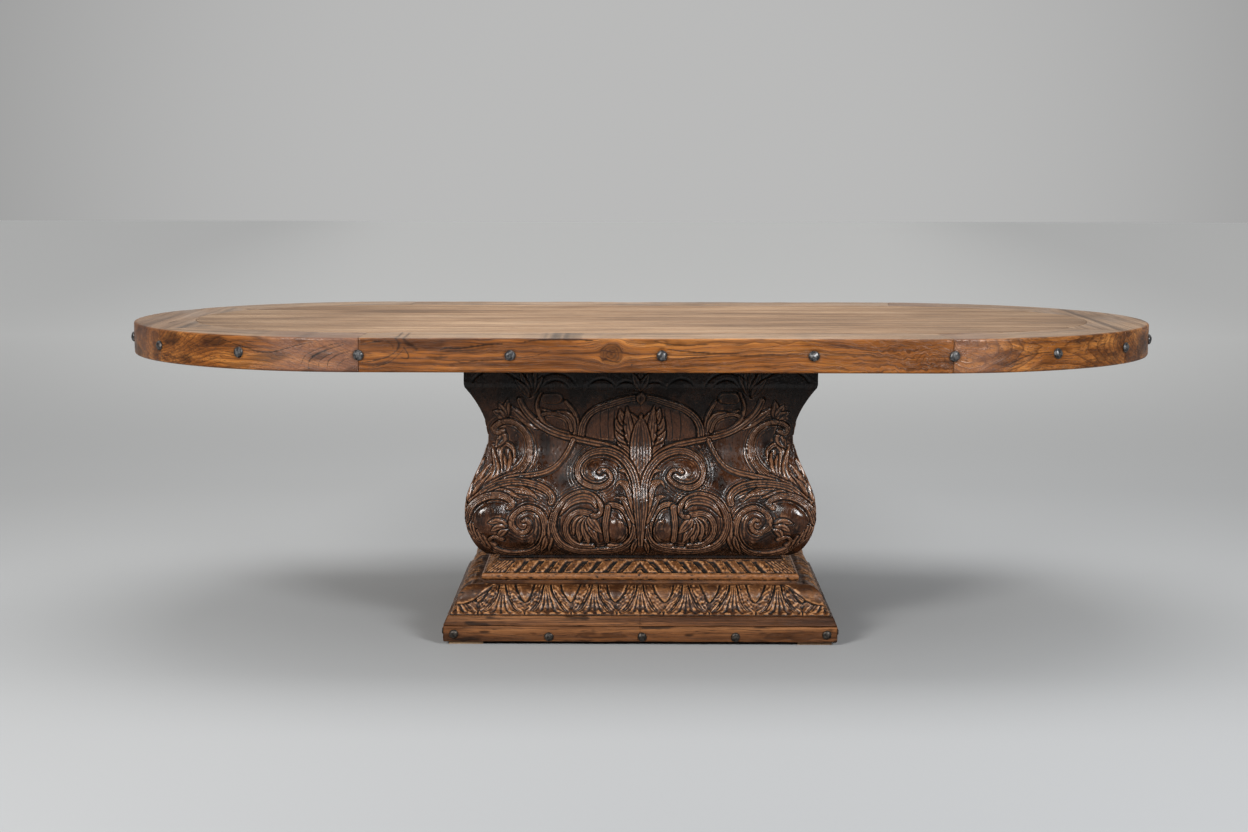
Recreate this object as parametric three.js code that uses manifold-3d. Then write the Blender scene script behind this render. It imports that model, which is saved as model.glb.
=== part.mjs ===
// A racetrack-shaped dining table on one waisted, carved pedestal, built up from its separate boards.
// Millimetres, +Z up. The origin is on the floor under the middle of the top, and the long side runs along X.
import * as THREE from "three";
import { mergeVertices } from "three/addons/utils/BufferGeometryUtils.js";
import Module from "manifold-3d";

const wasm = await Module();
wasm.setup();

const GAP = 0.3; // between boards that touch

// The top: a racetrack outline, a thick rim round it, and planks let in flush on the rim's ledge.
const TOP_HEIGHT = 765;
const STRAIGHT = 1270; // the outline's straight side
const END_REACH = 635; // how far each rounded end goes past the straight side
const HALF_WIDTH = 610;
const RIM_THICKNESS = 78;
const RIM_WIDTH = 150;
const LEDGE_WIDTH = 20; // the rim's rabbet, which the planks lie on
const PLANK_THICKNESS = 42;
const PLANKS = 5;
const CURVE_SEGMENTS = 30; // in each rounded end
// Butt joints in the rim, as the parameter angle on each end's ellipse; each joint also takes a nail.
const LEFT_JOINTS = [90, 38];
const RIGHT_JOINTS = [84, 37];
// Where the other nails stand: on the ends by angle, and on the long rails by their share of the rail.
const LEFT_NAILS = [64, 12];
const RIGHT_NAILS = [60.5, 13.5];
const RAIL_NAILS = [0.255, 0.51, 0.765];

const NAIL = { headRadius: 12.5, headHeight: 8, shank: 6, length: 38 };
const BATTEN = { width: 110, reach: 430, x: 300 };

// The pedestal. Its plan is a rectangle whose half depth is its half width less PLAN_OFFSET at every
// height, so that every mitre lies in one of four upright planes at 45 degrees.
const PLAN_OFFSET = 126;
const PANEL = { bottom: 188.3, inner: 330, rabbet: 360, rabbetZ: 657 };
const PANEL_TOP = TOP_HEIGHT - RIM_THICKNESS;
const CAP_THICKNESS = 29;
const MITRE_REACH = 1000;

// The base, from the floor up: feet, a fascia, a thick chamfered board that laps over the fascia's top,
// and two carved mouldings.
const FOOT = { size: 83, outer: 463 };
const FASCIA = { bottom: 8, top: 46, outer: 476, inner: 465.3 };
const BASE_BOARD = { bottom: 29.7, top: 69.7, outer: 465 };
const OGEE = { bottom: 70, top: 141, inner: 345 };
const GADROON = { bottom: 141.3, top: 188, inner: 300, deckSeat: 325.3, deckZ: 160 };

const woods = {
  plank: new THREE.MeshStandardMaterial({ color: 0x8a6a4c, roughness: 0.42, metalness: 0 }),
  rim: new THREE.MeshStandardMaterial({ color: 0x86532a, roughness: 0.45, metalness: 0 }),
  carved: new THREE.MeshStandardMaterial({ color: 0x4a2c1b, roughness: 0.4, metalness: 0 }),
  moulding: new THREE.MeshStandardMaterial({ color: 0x6f4729, roughness: 0.5, metalness: 0 }),
  hidden: new THREE.MeshStandardMaterial({ color: 0xa9855c, roughness: 0.75, metalness: 0 }),
};
const forgedIron = new THREE.MeshStandardMaterial({ color: 0x35363a, roughness: 0.45, metalness: 0.9 });

const table = new THREE.Group();

// ---- Solids and meshes

function solidOf(geometry) {
  const bare = geometry.clone();
  bare.deleteAttribute("normal");
  bare.deleteAttribute("uv");
  const merged = mergeVertices(bare, 1e-3);
  return new wasm.Manifold(
    new wasm.Mesh({
      numProp: 3,
      vertProperties: new Float32Array(merged.attributes.position.array),
      triVerts: new Uint32Array(merged.index.array),
    }),
  );
}

function geometryOf(solid) {
  const { vertProperties, triVerts } = solid.getMesh();
  const geometry = new THREE.BufferGeometry();
  geometry.setAttribute("position", new THREE.BufferAttribute(vertProperties, 3));
  geometry.setIndex(new THREE.BufferAttribute(triVerts, 1));
  geometry.computeVertexNormals();
  return geometry;
}

function addMesh(name, geometry, material) {
  const mesh = new THREE.Mesh(geometry, material);
  mesh.name = name;
  table.add(mesh);
  return mesh;
}

function addBoard(name, material, halfX, halfY, bottom, top, x = 0) {
  const board = new THREE.BoxGeometry(2 * halfX, 2 * halfY, top - bottom);
  addMesh(name, board, material).position.set(x, 0, (bottom + top) / 2);
}

// A saw cut GAP wide: an upright plate through (x, y) that runs along the given bearing.
function sawCut(x, y, bearing, length) {
  const plate = new THREE.BoxGeometry(length, GAP, 2 * TOP_HEIGHT);
  plate.rotateZ(bearing);
  plate.translate(x, y, TOP_HEIGHT / 2);
  return solidOf(plate);
}

function middle(solid) {
  const { min, max } = solid.boundingBox();
  return { x: (min[0] + max[0]) / 2, y: (min[1] + max[1]) / 2 };
}

// How far round the table a piece lies, anticlockwise from just before the middle of the front.
function turn(solid) {
  const { x, y } = middle(solid);
  return (THREE.MathUtils.radToDeg(Math.atan2(y, x)) + 360 + 100) % 360;
}

const acrossTable = (solid) => middle(solid).y;

// Cuts a solid along the saw cuts, and adds the pieces in the order of their place.
function addPieces(solid, cuts, place, names, material) {
  const pieces = cuts.reduce((rest, cut) => rest.subtract(cut), solid).decompose();
  pieces.sort((a, b) => place(a) - place(b));
  pieces.forEach((piece, i) => addMesh(names[i], geometryOf(piece), material));
}

// ---- The top

// The racetrack outline, drawn in by inset, as a slab between two heights.
function racetrack(inset, bottom, top) {
  const halfStraight = STRAIGHT / 2;
  const reach = END_REACH - inset;
  const half = HALF_WIDTH - inset;
  const outline = new THREE.Shape();
  outline.moveTo(-halfStraight, -half);
  outline.lineTo(halfStraight, -half);
  outline.absellipse(halfStraight, 0, reach, half, -Math.PI / 2, Math.PI / 2, false, 0);
  outline.lineTo(-halfStraight, half);
  outline.absellipse(-halfStraight, 0, reach, half, Math.PI / 2, 1.5 * Math.PI, false, 0);
  const slab = new THREE.ExtrudeGeometry(outline, {
    depth: top - bottom,
    bevelEnabled: false,
    curveSegments: CURVE_SEGMENTS,
  });
  slab.translate(0, 0, bottom);
  return solidOf(slab);
}

// A point on the outline of an end (side 1 right, -1 left) and the bearing of the outline's normal there.
function onEnd(side, degrees) {
  const angle = THREE.MathUtils.degToRad(degrees);
  const x = side * (STRAIGHT / 2 + END_REACH * Math.cos(angle));
  const y = HALF_WIDTH * Math.sin(angle);
  const bearing = Math.atan2(END_REACH * Math.sin(angle), side * HALF_WIDTH * Math.cos(angle));
  return { x, y, bearing };
}

const bothWays = (angles) => angles.flatMap((a) => [-a, a]);

const rimJoints = [
  ...bothWays(LEFT_JOINTS).map((a) => onEnd(-1, a)),
  ...bothWays(RIGHT_JOINTS).map((a) => onEnd(1, a)),
];

function nailPlaces() {
  const places = [
    ...rimJoints,
    ...bothWays(LEFT_NAILS).map((a) => onEnd(-1, a)),
    ...bothWays(RIGHT_NAILS).map((a) => onEnd(1, a)),
  ];
  const from = onEnd(-1, LEFT_JOINTS[0]).x;
  const to = onEnd(1, RIGHT_JOINTS[0]).x;
  for (const side of [-1, 1]) {
    for (const share of RAIL_NAILS) {
      places.push({ x: from + share * (to - from), y: side * HALF_WIDTH, bearing: (side * Math.PI) / 2 });
    }
  }
  const round = (p) => (THREE.MathUtils.radToDeg(Math.atan2(p.y, p.x)) + 360 + 180) % 360;
  return places.sort((a, b) => round(a) - round(b));
}

// Puts a geometry that points along +X at a nail's place, facing out of the rim.
function faceOut(geometry, place) {
  geometry.rotateZ(place.bearing);
  geometry.translate(place.x, place.y, TOP_HEIGHT - RIM_THICKNESS / 2);
  return geometry;
}

function shank(width, from, to) {
  const box = new THREE.BoxGeometry(to - from, width, width);
  box.translate((from + to) / 2, 0, 0);
  return box;
}

// A forged nail along +X: a domed head that stands off the wood, and a square shank behind it.
function nail() {
  const { headRadius, headHeight, shank: width, length } = NAIL;
  const dome = [new THREE.Vector2(0, 0), new THREE.Vector2(headRadius, 0)];
  for (const angle of [22.5, 45, 67.5]) {
    const a = THREE.MathUtils.degToRad(angle);
    dome.push(new THREE.Vector2(headRadius * Math.cos(a), headHeight * Math.sin(a)));
  }
  dome.push(new THREE.Vector2(0, headHeight));
  const head = new THREE.LatheGeometry(dome, 12);
  head.rotateZ(-Math.PI / 2);
  head.translate(GAP, 0, 0);
  return solidOf(head).add(solidOf(shank(width, -length, GAP + 1)));
}

function addTop() {
  const underside = TOP_HEIGHT - RIM_THICKNESS;
  const ledge = TOP_HEIGHT - PLANK_THICKNESS;
  const places = nailPlaces();
  let rim = racetrack(0, underside, TOP_HEIGHT)
    .subtract(racetrack(RIM_WIDTH, ledge, TOP_HEIGHT + 1))
    .subtract(racetrack(RIM_WIDTH + LEDGE_WIDTH, underside - 1, ledge + 1));
  for (const place of places) {
    const hole = shank(NAIL.shank + 2 * GAP, -NAIL.length - GAP, NAIL.headHeight);
    rim = rim.subtract(solidOf(faceOut(hole, place)));
  }
  const cuts = rimJoints.map((j) => sawCut(j.x, j.y, j.bearing, 3 * RIM_WIDTH));
  const names = ["front", "right_front", "right_end", "right_back", "back", "left_back", "left_end", "left_front"];
  addPieces(rim, cuts, turn, names.map((n) => `rim_${n}`), woods.rim);

  const field = racetrack(RIM_WIDTH + GAP, ledge + GAP, TOP_HEIGHT);
  const plankWidth = (2 * (HALF_WIDTH - RIM_WIDTH)) / PLANKS;
  const rips = [];
  for (let i = 1; i < PLANKS; i++) {
    rips.push(sawCut(0, i * plankWidth - (HALF_WIDTH - RIM_WIDTH), 0, 2 * TOP_HEIGHT + STRAIGHT));
  }
  const plankNames = Array.from({ length: PLANKS }, (_, i) => `top_plank_${i + 1}`);
  addPieces(field, rips, acrossTable, plankNames, woods.plank);

  places.forEach((place, i) => {
    const number = String(i + 1).padStart(2, "0");
    addMesh(`rim_nail_${number}`, faceOut(geometryOf(nail()), place), forgedIron);
  });
  for (const [name, side] of [["left", -1], ["right", 1]]) {
    const x = side * BATTEN.x;
    addBoard(`batten_${name}`, woods.hidden, BATTEN.width / 2, BATTEN.reach, underside, ledge - GAP, x);
  }
}

// ---- The pedestal

// A solid with four mitred corners, either a closed frame or, if its profile starts and ends on the axis,
// a full block. The profile holds half widths and heights, from its lower inner corner outwards and up,
// and the half depth is always PLAN_OFFSET less than the half width.
function mitredSolid(profile) {
  const swept = profile.map((p) => new THREE.Vector2(Math.max(p.x - PLAN_OFFSET, 0) * Math.SQRT2, p.y));
  if (swept[0].x > 0) {
    swept.push(swept[0].clone());
  }
  const frame = new THREE.LatheGeometry(swept, 4, Math.PI / 4);
  frame.rotateX(Math.PI / 2);
  const position = frame.getAttribute("position");
  for (let i = 0; i < position.count; i++) {
    position.setX(i, position.getX(i) + Math.sign(position.getX(i)) * PLAN_OFFSET);
  }
  return solidOf(frame);
}

const mitres = [-1, 1].flatMap((x) =>
  [-1, 1].map((y) =>
    sawCut(x * (PLAN_OFFSET + MITRE_REACH / 2), (y * MITRE_REACH) / 2, Math.atan2(y, x), 1.4 * MITRE_REACH),
  ),
);

function addMitred(prefix, profile, material) {
  const names = ["front", "right", "back", "left"].map((side) => `${prefix}_${side}`);
  addPieces(mitredSolid(profile), mitres, turn, names, material);
}

// The waisted outline: a bulging belly, a hollow neck, and a flared head with an upright edge.
function panelProfile() {
  const outline = new THREE.Path();
  outline.moveTo(PANEL.inner, PANEL.bottom);
  outline.lineTo(345, PANEL.bottom);
  outline.lineTo(345, 197);
  outline.bezierCurveTo(396, 199, 423, 255, 422, 318);
  outline.bezierCurveTo(424, 375, 374, 428, 370, 482);
  outline.bezierCurveTo(368, 510, 378, 560, 423, 620);
  outline.lineTo(425, 628);
  outline.lineTo(425, PANEL_TOP - GAP);
  outline.lineTo(PANEL.rabbet, PANEL_TOP - GAP);
  outline.lineTo(PANEL.rabbet, PANEL.rabbetZ);
  outline.lineTo(PANEL.inner, PANEL.rabbetZ);
  return outline.getPoints(8);
}

// Chalice-shaped in section: hollow below, round above, with a flat seat for the moulding on top of it.
function ogeeProfile() {
  const outline = new THREE.Path();
  outline.moveTo(OGEE.inner, OGEE.bottom);
  outline.lineTo(464, OGEE.bottom);
  outline.bezierCurveTo(451, 75, 441, 84, 440, 96);
  outline.bezierCurveTo(439, 118, 427, 132, 400, 134);
  outline.lineTo(380, 134);
  outline.lineTo(380, OGEE.top);
  outline.lineTo(OGEE.inner, OGEE.top);
  return outline.getPoints(6);
}

// A half-round bead, a sloping face for the gadroons, and a small fillet, with a seat for the deck inside.
function gadroonProfile() {
  const outline = new THREE.Path();
  outline.moveTo(GADROON.inner, GADROON.bottom);
  outline.lineTo(382, GADROON.bottom);
  outline.bezierCurveTo(390, 142, 390, 157, 382, 159);
  outline.lineTo(351, 183);
  outline.lineTo(350, GADROON.top);
  outline.lineTo(GADROON.deckSeat, GADROON.top);
  outline.lineTo(GADROON.deckSeat, GADROON.deckZ);
  outline.lineTo(GADROON.inner, GADROON.deckZ);
  return outline.getPoints(6);
}

function fasciaProfile() {
  const { bottom, top, outer, inner } = FASCIA;
  const corners = [[inner, bottom], [outer, bottom], [outer, top], [inner, top]];
  return corners.map(([x, z]) => new THREE.Vector2(x, z));
}

// A full block with a lip that covers the fascia, chamfered back to the block's own edge at the top.
function baseBoardProfile() {
  const { bottom, top, outer } = BASE_BOARD;
  const lip = FASCIA.top + GAP;
  const corners = [[0, bottom], [outer, bottom], [outer, lip], [FASCIA.outer, lip], [outer, top], [0, top]];
  return corners.map(([x, z]) => new THREE.Vector2(x, z));
}

function addPedestal() {
  addMitred("carved_panel", panelProfile(), woods.carved);
  const capHalf = PANEL.rabbet - GAP;
  const capTop = PANEL_TOP - GAP;
  addBoard("cap_board", woods.hidden, capHalf, capHalf - PLAN_OFFSET, capTop - CAP_THICKNESS, capTop);
  const deckHalf = GADROON.deckSeat - GAP;
  const deckBottom = GADROON.deckZ + GAP;
  addBoard("deck_board", woods.hidden, deckHalf, deckHalf - PLAN_OFFSET, deckBottom, GADROON.top);
}

function addBase() {
  addMitred("gadroon_moulding", gadroonProfile(), woods.moulding);
  addMitred("ogee_moulding", ogeeProfile(), woods.moulding);
  addMesh("base_board", geometryOf(mitredSolid(baseBoardProfile())), woods.moulding);
  addMitred("plinth_fascia", fasciaProfile(), woods.moulding);
  const footHeight = BASE_BOARD.bottom - GAP;
  for (const [end, x] of [["left", -1], ["right", 1]]) {
    for (const [side, y] of [["front", -1], ["back", 1]]) {
      const foot = new THREE.BoxGeometry(FOOT.size, FOOT.size, footHeight);
      const centre = FOOT.outer - FOOT.size / 2;
      const mesh = addMesh(`foot_${side}_${end}`, foot, woods.hidden);
      mesh.position.set(x * centre, y * (centre - PLAN_OFFSET), footHeight / 2);
    }
  }
}

addTop();
addPedestal();
addBase();

export default table;
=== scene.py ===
"""A carved pedestal table: racetrack plank top in a nailed rim, on one waisted pedestal and a stepped base.

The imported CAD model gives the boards' and the rim nails' sizes and places. Each board that shows and each
nail is made again here as a mesh with its real surface: carved relief, eased edges, hammer marks. Lengths
are metres where nothing else is said.
"""

import math
from collections import namedtuple

import bpy
import numpy as np
from mathutils import Euler, Matrix, Vector


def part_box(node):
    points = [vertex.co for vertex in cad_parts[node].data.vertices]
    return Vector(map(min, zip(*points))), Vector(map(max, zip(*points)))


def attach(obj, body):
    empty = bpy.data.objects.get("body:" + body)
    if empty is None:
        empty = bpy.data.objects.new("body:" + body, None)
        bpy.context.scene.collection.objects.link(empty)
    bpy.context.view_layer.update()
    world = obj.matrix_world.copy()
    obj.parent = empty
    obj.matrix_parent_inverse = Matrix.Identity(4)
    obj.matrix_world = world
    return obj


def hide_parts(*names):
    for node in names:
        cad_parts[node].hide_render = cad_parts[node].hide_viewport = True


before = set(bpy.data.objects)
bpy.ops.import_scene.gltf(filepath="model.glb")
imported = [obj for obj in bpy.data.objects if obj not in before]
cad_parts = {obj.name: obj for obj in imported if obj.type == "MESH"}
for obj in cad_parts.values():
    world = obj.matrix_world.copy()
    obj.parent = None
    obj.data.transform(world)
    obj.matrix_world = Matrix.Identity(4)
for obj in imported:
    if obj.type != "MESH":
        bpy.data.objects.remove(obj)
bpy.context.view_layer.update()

# ---- Sizes, nearly all of them the frame's

TOP_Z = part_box("rim_front")[1].z
RIM_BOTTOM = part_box("rim_front")[0].z
END_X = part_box("rim_right_end")[1].x
HALF_WIDTH = -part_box("rim_front")[0].y
STRAIGHT_X = -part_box("rim_front")[0].x
END_REACH = END_X - STRAIGHT_X
FIELD_HALF_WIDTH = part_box("top_plank_5")[1].y
PLANK_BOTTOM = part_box("top_plank_1")[0].z
RIM_WIDTH = HALF_WIDTH - FIELD_HALF_WIDTH
LEDGE_WIDTH = 0.020
PLANKS = 5
GAP = 0.0003  # between boards, as in the CAD

PANEL_LOW, PANEL_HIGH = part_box("carved_panel_front")
PLAN_OFFSET = PANEL_HIGH.x + PANEL_LOW.y  # half width less half depth, at every height
PANEL_INNER = PLAN_OFFSET - PANEL_HIGH.y
GADROON_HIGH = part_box("gadroon_moulding_front")[1]
OGEE_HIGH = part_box("ogee_moulding_front")[1]
FASCIA_LOW, FASCIA_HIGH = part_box("plinth_fascia_front")
BOARD_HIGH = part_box("base_board")[1]

FINE = 0.0016  # spacing of the carved surfaces' vertices

SEAM_ANGLES = {"left": (90, 38), "right": (84, 37)}  # the rim's joints, as in the CAD


# ---- Small helpers for shapes

def ripple(x, y, size, seed, waves=14):
    """Smooth noise of about unit height, with bumps about size across."""
    rng = np.random.default_rng(seed)
    total = np.zeros(np.broadcast(x, y).shape)
    for _ in range(waves):
        bearing = rng.uniform(0, 2 * math.pi)
        length = size * rng.uniform(1.2, 3.0)
        phase = rng.uniform(0, 2 * math.pi)
        total += np.sin((x * math.cos(bearing) + y * math.sin(bearing)) * 2 * math.pi / length + phase)
    return total * math.sqrt(2 / waves) / 1.5


def smoothstep(low, high, value):
    t = np.clip((value - low) / (high - low), 0, 1)
    return t * t * (3 - 2 * t)


def bezier(p0, p1, p2, p3, count):
    t = np.linspace(0, 1, count)[:, None]
    p0, p1, p2, p3 = (np.array(p, float) for p in (p0, p1, p2, p3))
    return (1 - t) ** 3 * p0 + 3 * (1 - t) ** 2 * t * p1 + 3 * (1 - t) * t * t * p2 + t**3 * p3


def spline(points, steps=8):
    """A Catmull-Rom curve through the points."""
    p = np.array(points, float)
    p = np.vstack([2 * p[0] - p[1], p, 2 * p[-1] - p[-2]])
    t = np.linspace(0, 1, steps, endpoint=False)[:, None]
    parts = []
    for i in range(1, len(p) - 2):
        a, b, c, d = p[i - 1 : i + 3]
        parts.append(0.5 * (2 * b + (c - a) * t + (2 * a - 5 * b + 4 * c - d) * t**2
                            + (3 * b - a - 3 * c + d) * t**3))
    return np.vstack([*parts, p[-2:-1]])


def blur(values, radius):
    """A box blur, applied twice each way."""
    out = values
    for _ in range(2):
        for axis in (0, 1):
            pad = [(0, 0), (0, 0)]
            pad[axis] = (radius + 1, radius)
            total = np.cumsum(np.pad(out, pad, mode="edge"), axis=axis)
            size = out.shape[axis]
            high = np.take(total, np.arange(2 * radius + 1, size + 2 * radius + 1), axis=axis)
            low = np.take(total, np.arange(size), axis=axis)
            out = (high - low) / (2 * radius + 1)
    return out


def make_piece(name, vertices, faces, material, slot, replaces=(), grain=None, **fields):
    """Makes a smooth mesh piece, with grain coordinates and other fields as attributes, and hooks it up.

    The vertices, the grain and the fields may be grids.
    """
    mesh = bpy.data.meshes.new(name)
    mesh.from_pydata(np.reshape(vertices, (-1, 3)).tolist(), [], faces)
    if grain is not None:
        layer = mesh.attributes.new("grain", "FLOAT_VECTOR", "POINT")
        layer.data.foreach_set("vector", np.asarray(grain, np.float32).ravel())
    for key, values in fields.items():
        layer = mesh.attributes.new(key, "FLOAT", "POINT")
        layer.data.foreach_set("value", np.asarray(values, np.float32).ravel())
    mesh.shade_smooth()
    mesh.materials.append(material)
    mesh.validate()
    piece = bpy.data.objects.new(name, mesh)
    bpy.context.scene.collection.objects.link(piece)
    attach(piece, "root")
    if replaces:
        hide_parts(*replaces)
    return piece


def grid_faces(rows, columns, flip=False, wrap=False):
    """Quads over a grid of rows x columns vertices; wrap joins the last column to the first."""
    row = np.arange(rows - 1)[:, None]
    column = np.arange(columns if wrap else columns - 1)[None, :]
    a = row * columns + column
    b = row * columns + (column + 1) % columns
    order = (a, a + columns, b + columns, b) if flip else (a, b, b + columns, a + columns)
    return np.stack([k.ravel() for k in order], 1).tolist()


# ---- Materials

def add_node(tree, kind, sockets=None, **settings):
    """Adds a shader node; sockets maps input names or numbers to a value or to another node's output."""
    node = tree.nodes.new(kind)
    for key, value in settings.items():
        setattr(node, key, value)
    for key, value in (sockets or {}).items():
        if isinstance(value, bpy.types.NodeSocket):
            tree.links.new(value, node.inputs[key])
        else:
            node.inputs[key].default_value = value
    return node


def math_node(tree, operation, a, b=0.0, c=0.0):
    return add_node(tree, "ShaderNodeMath", {0: a, 1: b, 2: c}, operation=operation).outputs[0]


def weighted_sum(tree, *terms):
    """Adds up signals, each times its weight."""
    total = 0.0
    for signal, weight in terms:
        total = math_node(tree, "MULTIPLY_ADD", signal, weight, total)
    return total


def strongest(tree, *terms):
    """The largest of some signals, each times its weight."""
    largest = 0.0
    for signal, weight in terms:
        largest = math_node(tree, "MAXIMUM", math_node(tree, "MULTIPLY", signal, weight), largest)
    return largest


def attribute(tree, name, output="Fac"):
    """A mesh attribute. One that a mesh doesn't have is zero."""
    return add_node(tree, "ShaderNodeAttribute", attribute_name=name).outputs[output]


def stretched(tree, vector, scale):
    sockets = {0: vector, 1: scale}
    return add_node(tree, "ShaderNodeVectorMath", sockets, operation="MULTIPLY").outputs[0]


def noise(tree, vector, scale, detail=3.0, roughness=0.55, distortion=0.0):
    sockets = {"Vector": stretched(tree, vector, scale), "Scale": 1.0, "Detail": detail,
               "Roughness": roughness, "Distortion": distortion}
    return add_node(tree, "ShaderNodeTexNoise", sockets).outputs["Fac"]


def remap(tree, value, low, high, new_low=0.0, new_high=1.0, smooth=True):
    sockets = {"Value": value, "From Min": low, "From Max": high, "To Min": new_low, "To Max": new_high}
    kind = "SMOOTHSTEP" if smooth else "LINEAR"
    return add_node(tree, "ShaderNodeMapRange", sockets, interpolation_type=kind).outputs["Result"]


def mix_colour(tree, factor, a, b, blend="MIX"):
    node = add_node(tree, "ShaderNodeMix", data_type="RGBA", blend_type=blend)
    for index, value in ((0, factor), (6, a), (7, b)):
        if isinstance(value, bpy.types.NodeSocket):
            tree.links.new(value, node.inputs[index])
        else:
            node.inputs[index].default_value = value if index == 0 else (*value, 1.0)
    return node.outputs[2]


def colour_ramp(tree, value, palette):
    """A ramp from dark through middle to light over a noise's usual range."""
    dark, middle, light = palette
    ramp = add_node(tree, "ShaderNodeValToRGB", {"Fac": value})
    stops = ramp.color_ramp.elements
    stops[0].position, stops[0].color = 0.34, (*dark, 1)
    stops[1].position, stops[1].color = 0.66, (*light, 1)
    stops.new(0.50).color = (*middle, 1)
    return ramp.outputs["Color"]


def brighten(tree, colour, value, low, high):
    """Multiplies a colour by a factor from low to high as a noise goes over its usual range."""
    factor = remap(tree, value, 0.3, 0.7, low, high, smooth=False)
    grey = add_node(tree, "ShaderNodeCombineColor", {0: factor, 1: factor, 2: factor}).outputs[0]
    return mix_colour(tree, 1.0, colour, grey, "MULTIPLY")


def bump(tree, height, distance, strength):
    sockets = {"Height": height, "Distance": distance, "Strength": strength}
    return add_node(tree, "ShaderNodeBump", sockets).outputs["Normal"]


def new_material(name):
    material = bpy.data.materials.new(name)
    material.use_nodes = True
    tree = material.node_tree
    return material, tree, tree.nodes["Principled BSDF"]


def dress(tree, surface, colour, roughness, normal):
    """Links up a surface's colour, roughness and normal."""
    for name, signal in (("Base Color", colour), ("Roughness", roughness), ("Normal", normal)):
        tree.links.new(signal, surface.inputs[name])


def wood_figure(tree, ring_width):
    """The grain's signals, each 0 to 1: ring lines, streaks, hairlines, fibre, pores and rare cracks."""
    grain = attribute(tree, "grain", "Vector")

    def grained(along, across, detail, **style):
        """Noise with its own scale along the grain and across it."""
        return noise(tree, grain, (along, across, across), detail=detail, **style)

    squeezed = stretched(tree, grain, (0.015, 1.0, 1.0))
    from_pith = add_node(tree, "ShaderNodeVectorMath", {0: squeezed}, operation="LENGTH").outputs["Value"]
    drift = grained(0.9, 5.0, 4.0)
    wobble = grained(9.0, 24.0, 2.0)
    swirl = attribute(tree, "swirl")
    rings = weighted_sum(tree, (from_pith, 1 / ring_width), (drift, 3.0), (wobble, 1.1), (swirl, 1.0))
    saw = math_node(tree, "FRACT", rings)
    sharp_end = remap(tree, saw, 0.90, 1.0, 1.0, 0.0)
    waves = grained(3.2, 170.0, 3.0, distortion=0.3)
    from_middle = math_node(tree, "ABSOLUTE", math_node(tree, "SUBTRACT", waves, 0.5))
    return {
        "grain": grain,
        "rings": math_node(tree, "MULTIPLY", math_node(tree, "POWER", saw, 4.0), sharp_end),
        "streak": grained(1.3, 42.0, 5.0, roughness=0.65),
        "bands": remap(tree, grained(0.7, 52.0, 3.0, roughness=0.6), 0.53, 0.60),
        "hairlines": remap(tree, from_middle, 0.0, 0.035, 1.0, 0.0),
        "cloud": grained(2.2, 7.0, 2.0),
        "fibre": grained(18.0, 700.0, 2.0),
        "pores": remap(tree, grained(45.0, 900.0, 1.0), 0.60, 0.72),
        "cracks": remap(tree, grained(2.4, 110.0, 2.0, distortion=0.4), 0.70, 0.76),
    }


def wood(name, palette, worn_palette=None, ring_width=0.005, gloss=(0.30, 0.50), ring_depth=0.9,
         hair_depth=0.8, band_depth=0.4, crack_depth=1.0, specular=0.3):
    """Waxed wood, with ring lines, streaks, pores and a few cracks along the grain attribute.

    A palette is dark, middle and light. The wear and sheen attribute, from 0 to 1, leads to the second
    palette, which on the rim's top is a painted grey sheen. The age and sheen attribute leads to a cooler
    brown, partly for age and partly a painted sheen. gloss is the roughness range.
    """
    material, tree, surface = new_material(name)
    figure = wood_figure(tree, ring_width)
    tone = weighted_sum(tree, (figure["streak"], 0.62), (figure["cloud"], 0.38))
    lines = strongest(tree, (figure["rings"], ring_depth), (figure["hairlines"], hair_depth))
    colour = colour_ramp(tree, tone, palette)
    dark = palette[0]
    if worn_palette:
        # On the rim's top face this paints the second palette as a painted grey sheen and fades the grain
        # lines.
        worn = attribute(tree, "worn")
        colour = mix_colour(tree, worn, colour, colour_ramp(tree, tone, worn_palette))
        dark = mix_colour(tree, worn, palette[0], worn_palette[0])
        lines = math_node(tree, "MULTIPLY", lines, remap(tree, worn, 0.0, 1.0, 1.0, 0.5))
    colour = mix_colour(tree, math_node(tree, "MULTIPLY", figure["bands"], band_depth), colour, dark)
    colour = mix_colour(tree, lines, colour, dark)
    colour = brighten(tree, colour, figure["fibre"], 0.80, 1.16)
    # A cooler brown, for the wood's age and, on the curved front boards, a painted sheen.
    aged = math_node(tree, "MULTIPLY", attribute(tree, "age"), 0.55)
    colour = mix_colour(tree, aged, colour, AGED_AND_SHEEN_BROWN)
    # This attribute holds stains and dirt, and also painted shade over the top's rounded ends.
    stain = attribute(tree, "stain")
    marks = strongest(tree, (figure["pores"], 0.35), (figure["cracks"], crack_depth), (stain, 1.0))
    colour = mix_colour(tree, marks, colour, [0.16 * c for c in palette[0]])
    patchy = noise(tree, figure["grain"], (6.0, 14.0, 14.0), detail=3.0)
    height = weighted_sum(tree, (figure["fibre"], 0.35), (lines, -1.0), (marks, -1.6))
    dress(tree, surface, colour, remap(tree, patchy, 0.3, 0.7, *gloss), bump(tree, height, 0.0006, 0.55))
    surface.inputs["Specular IOR Level"].default_value = specular
    return material


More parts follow.
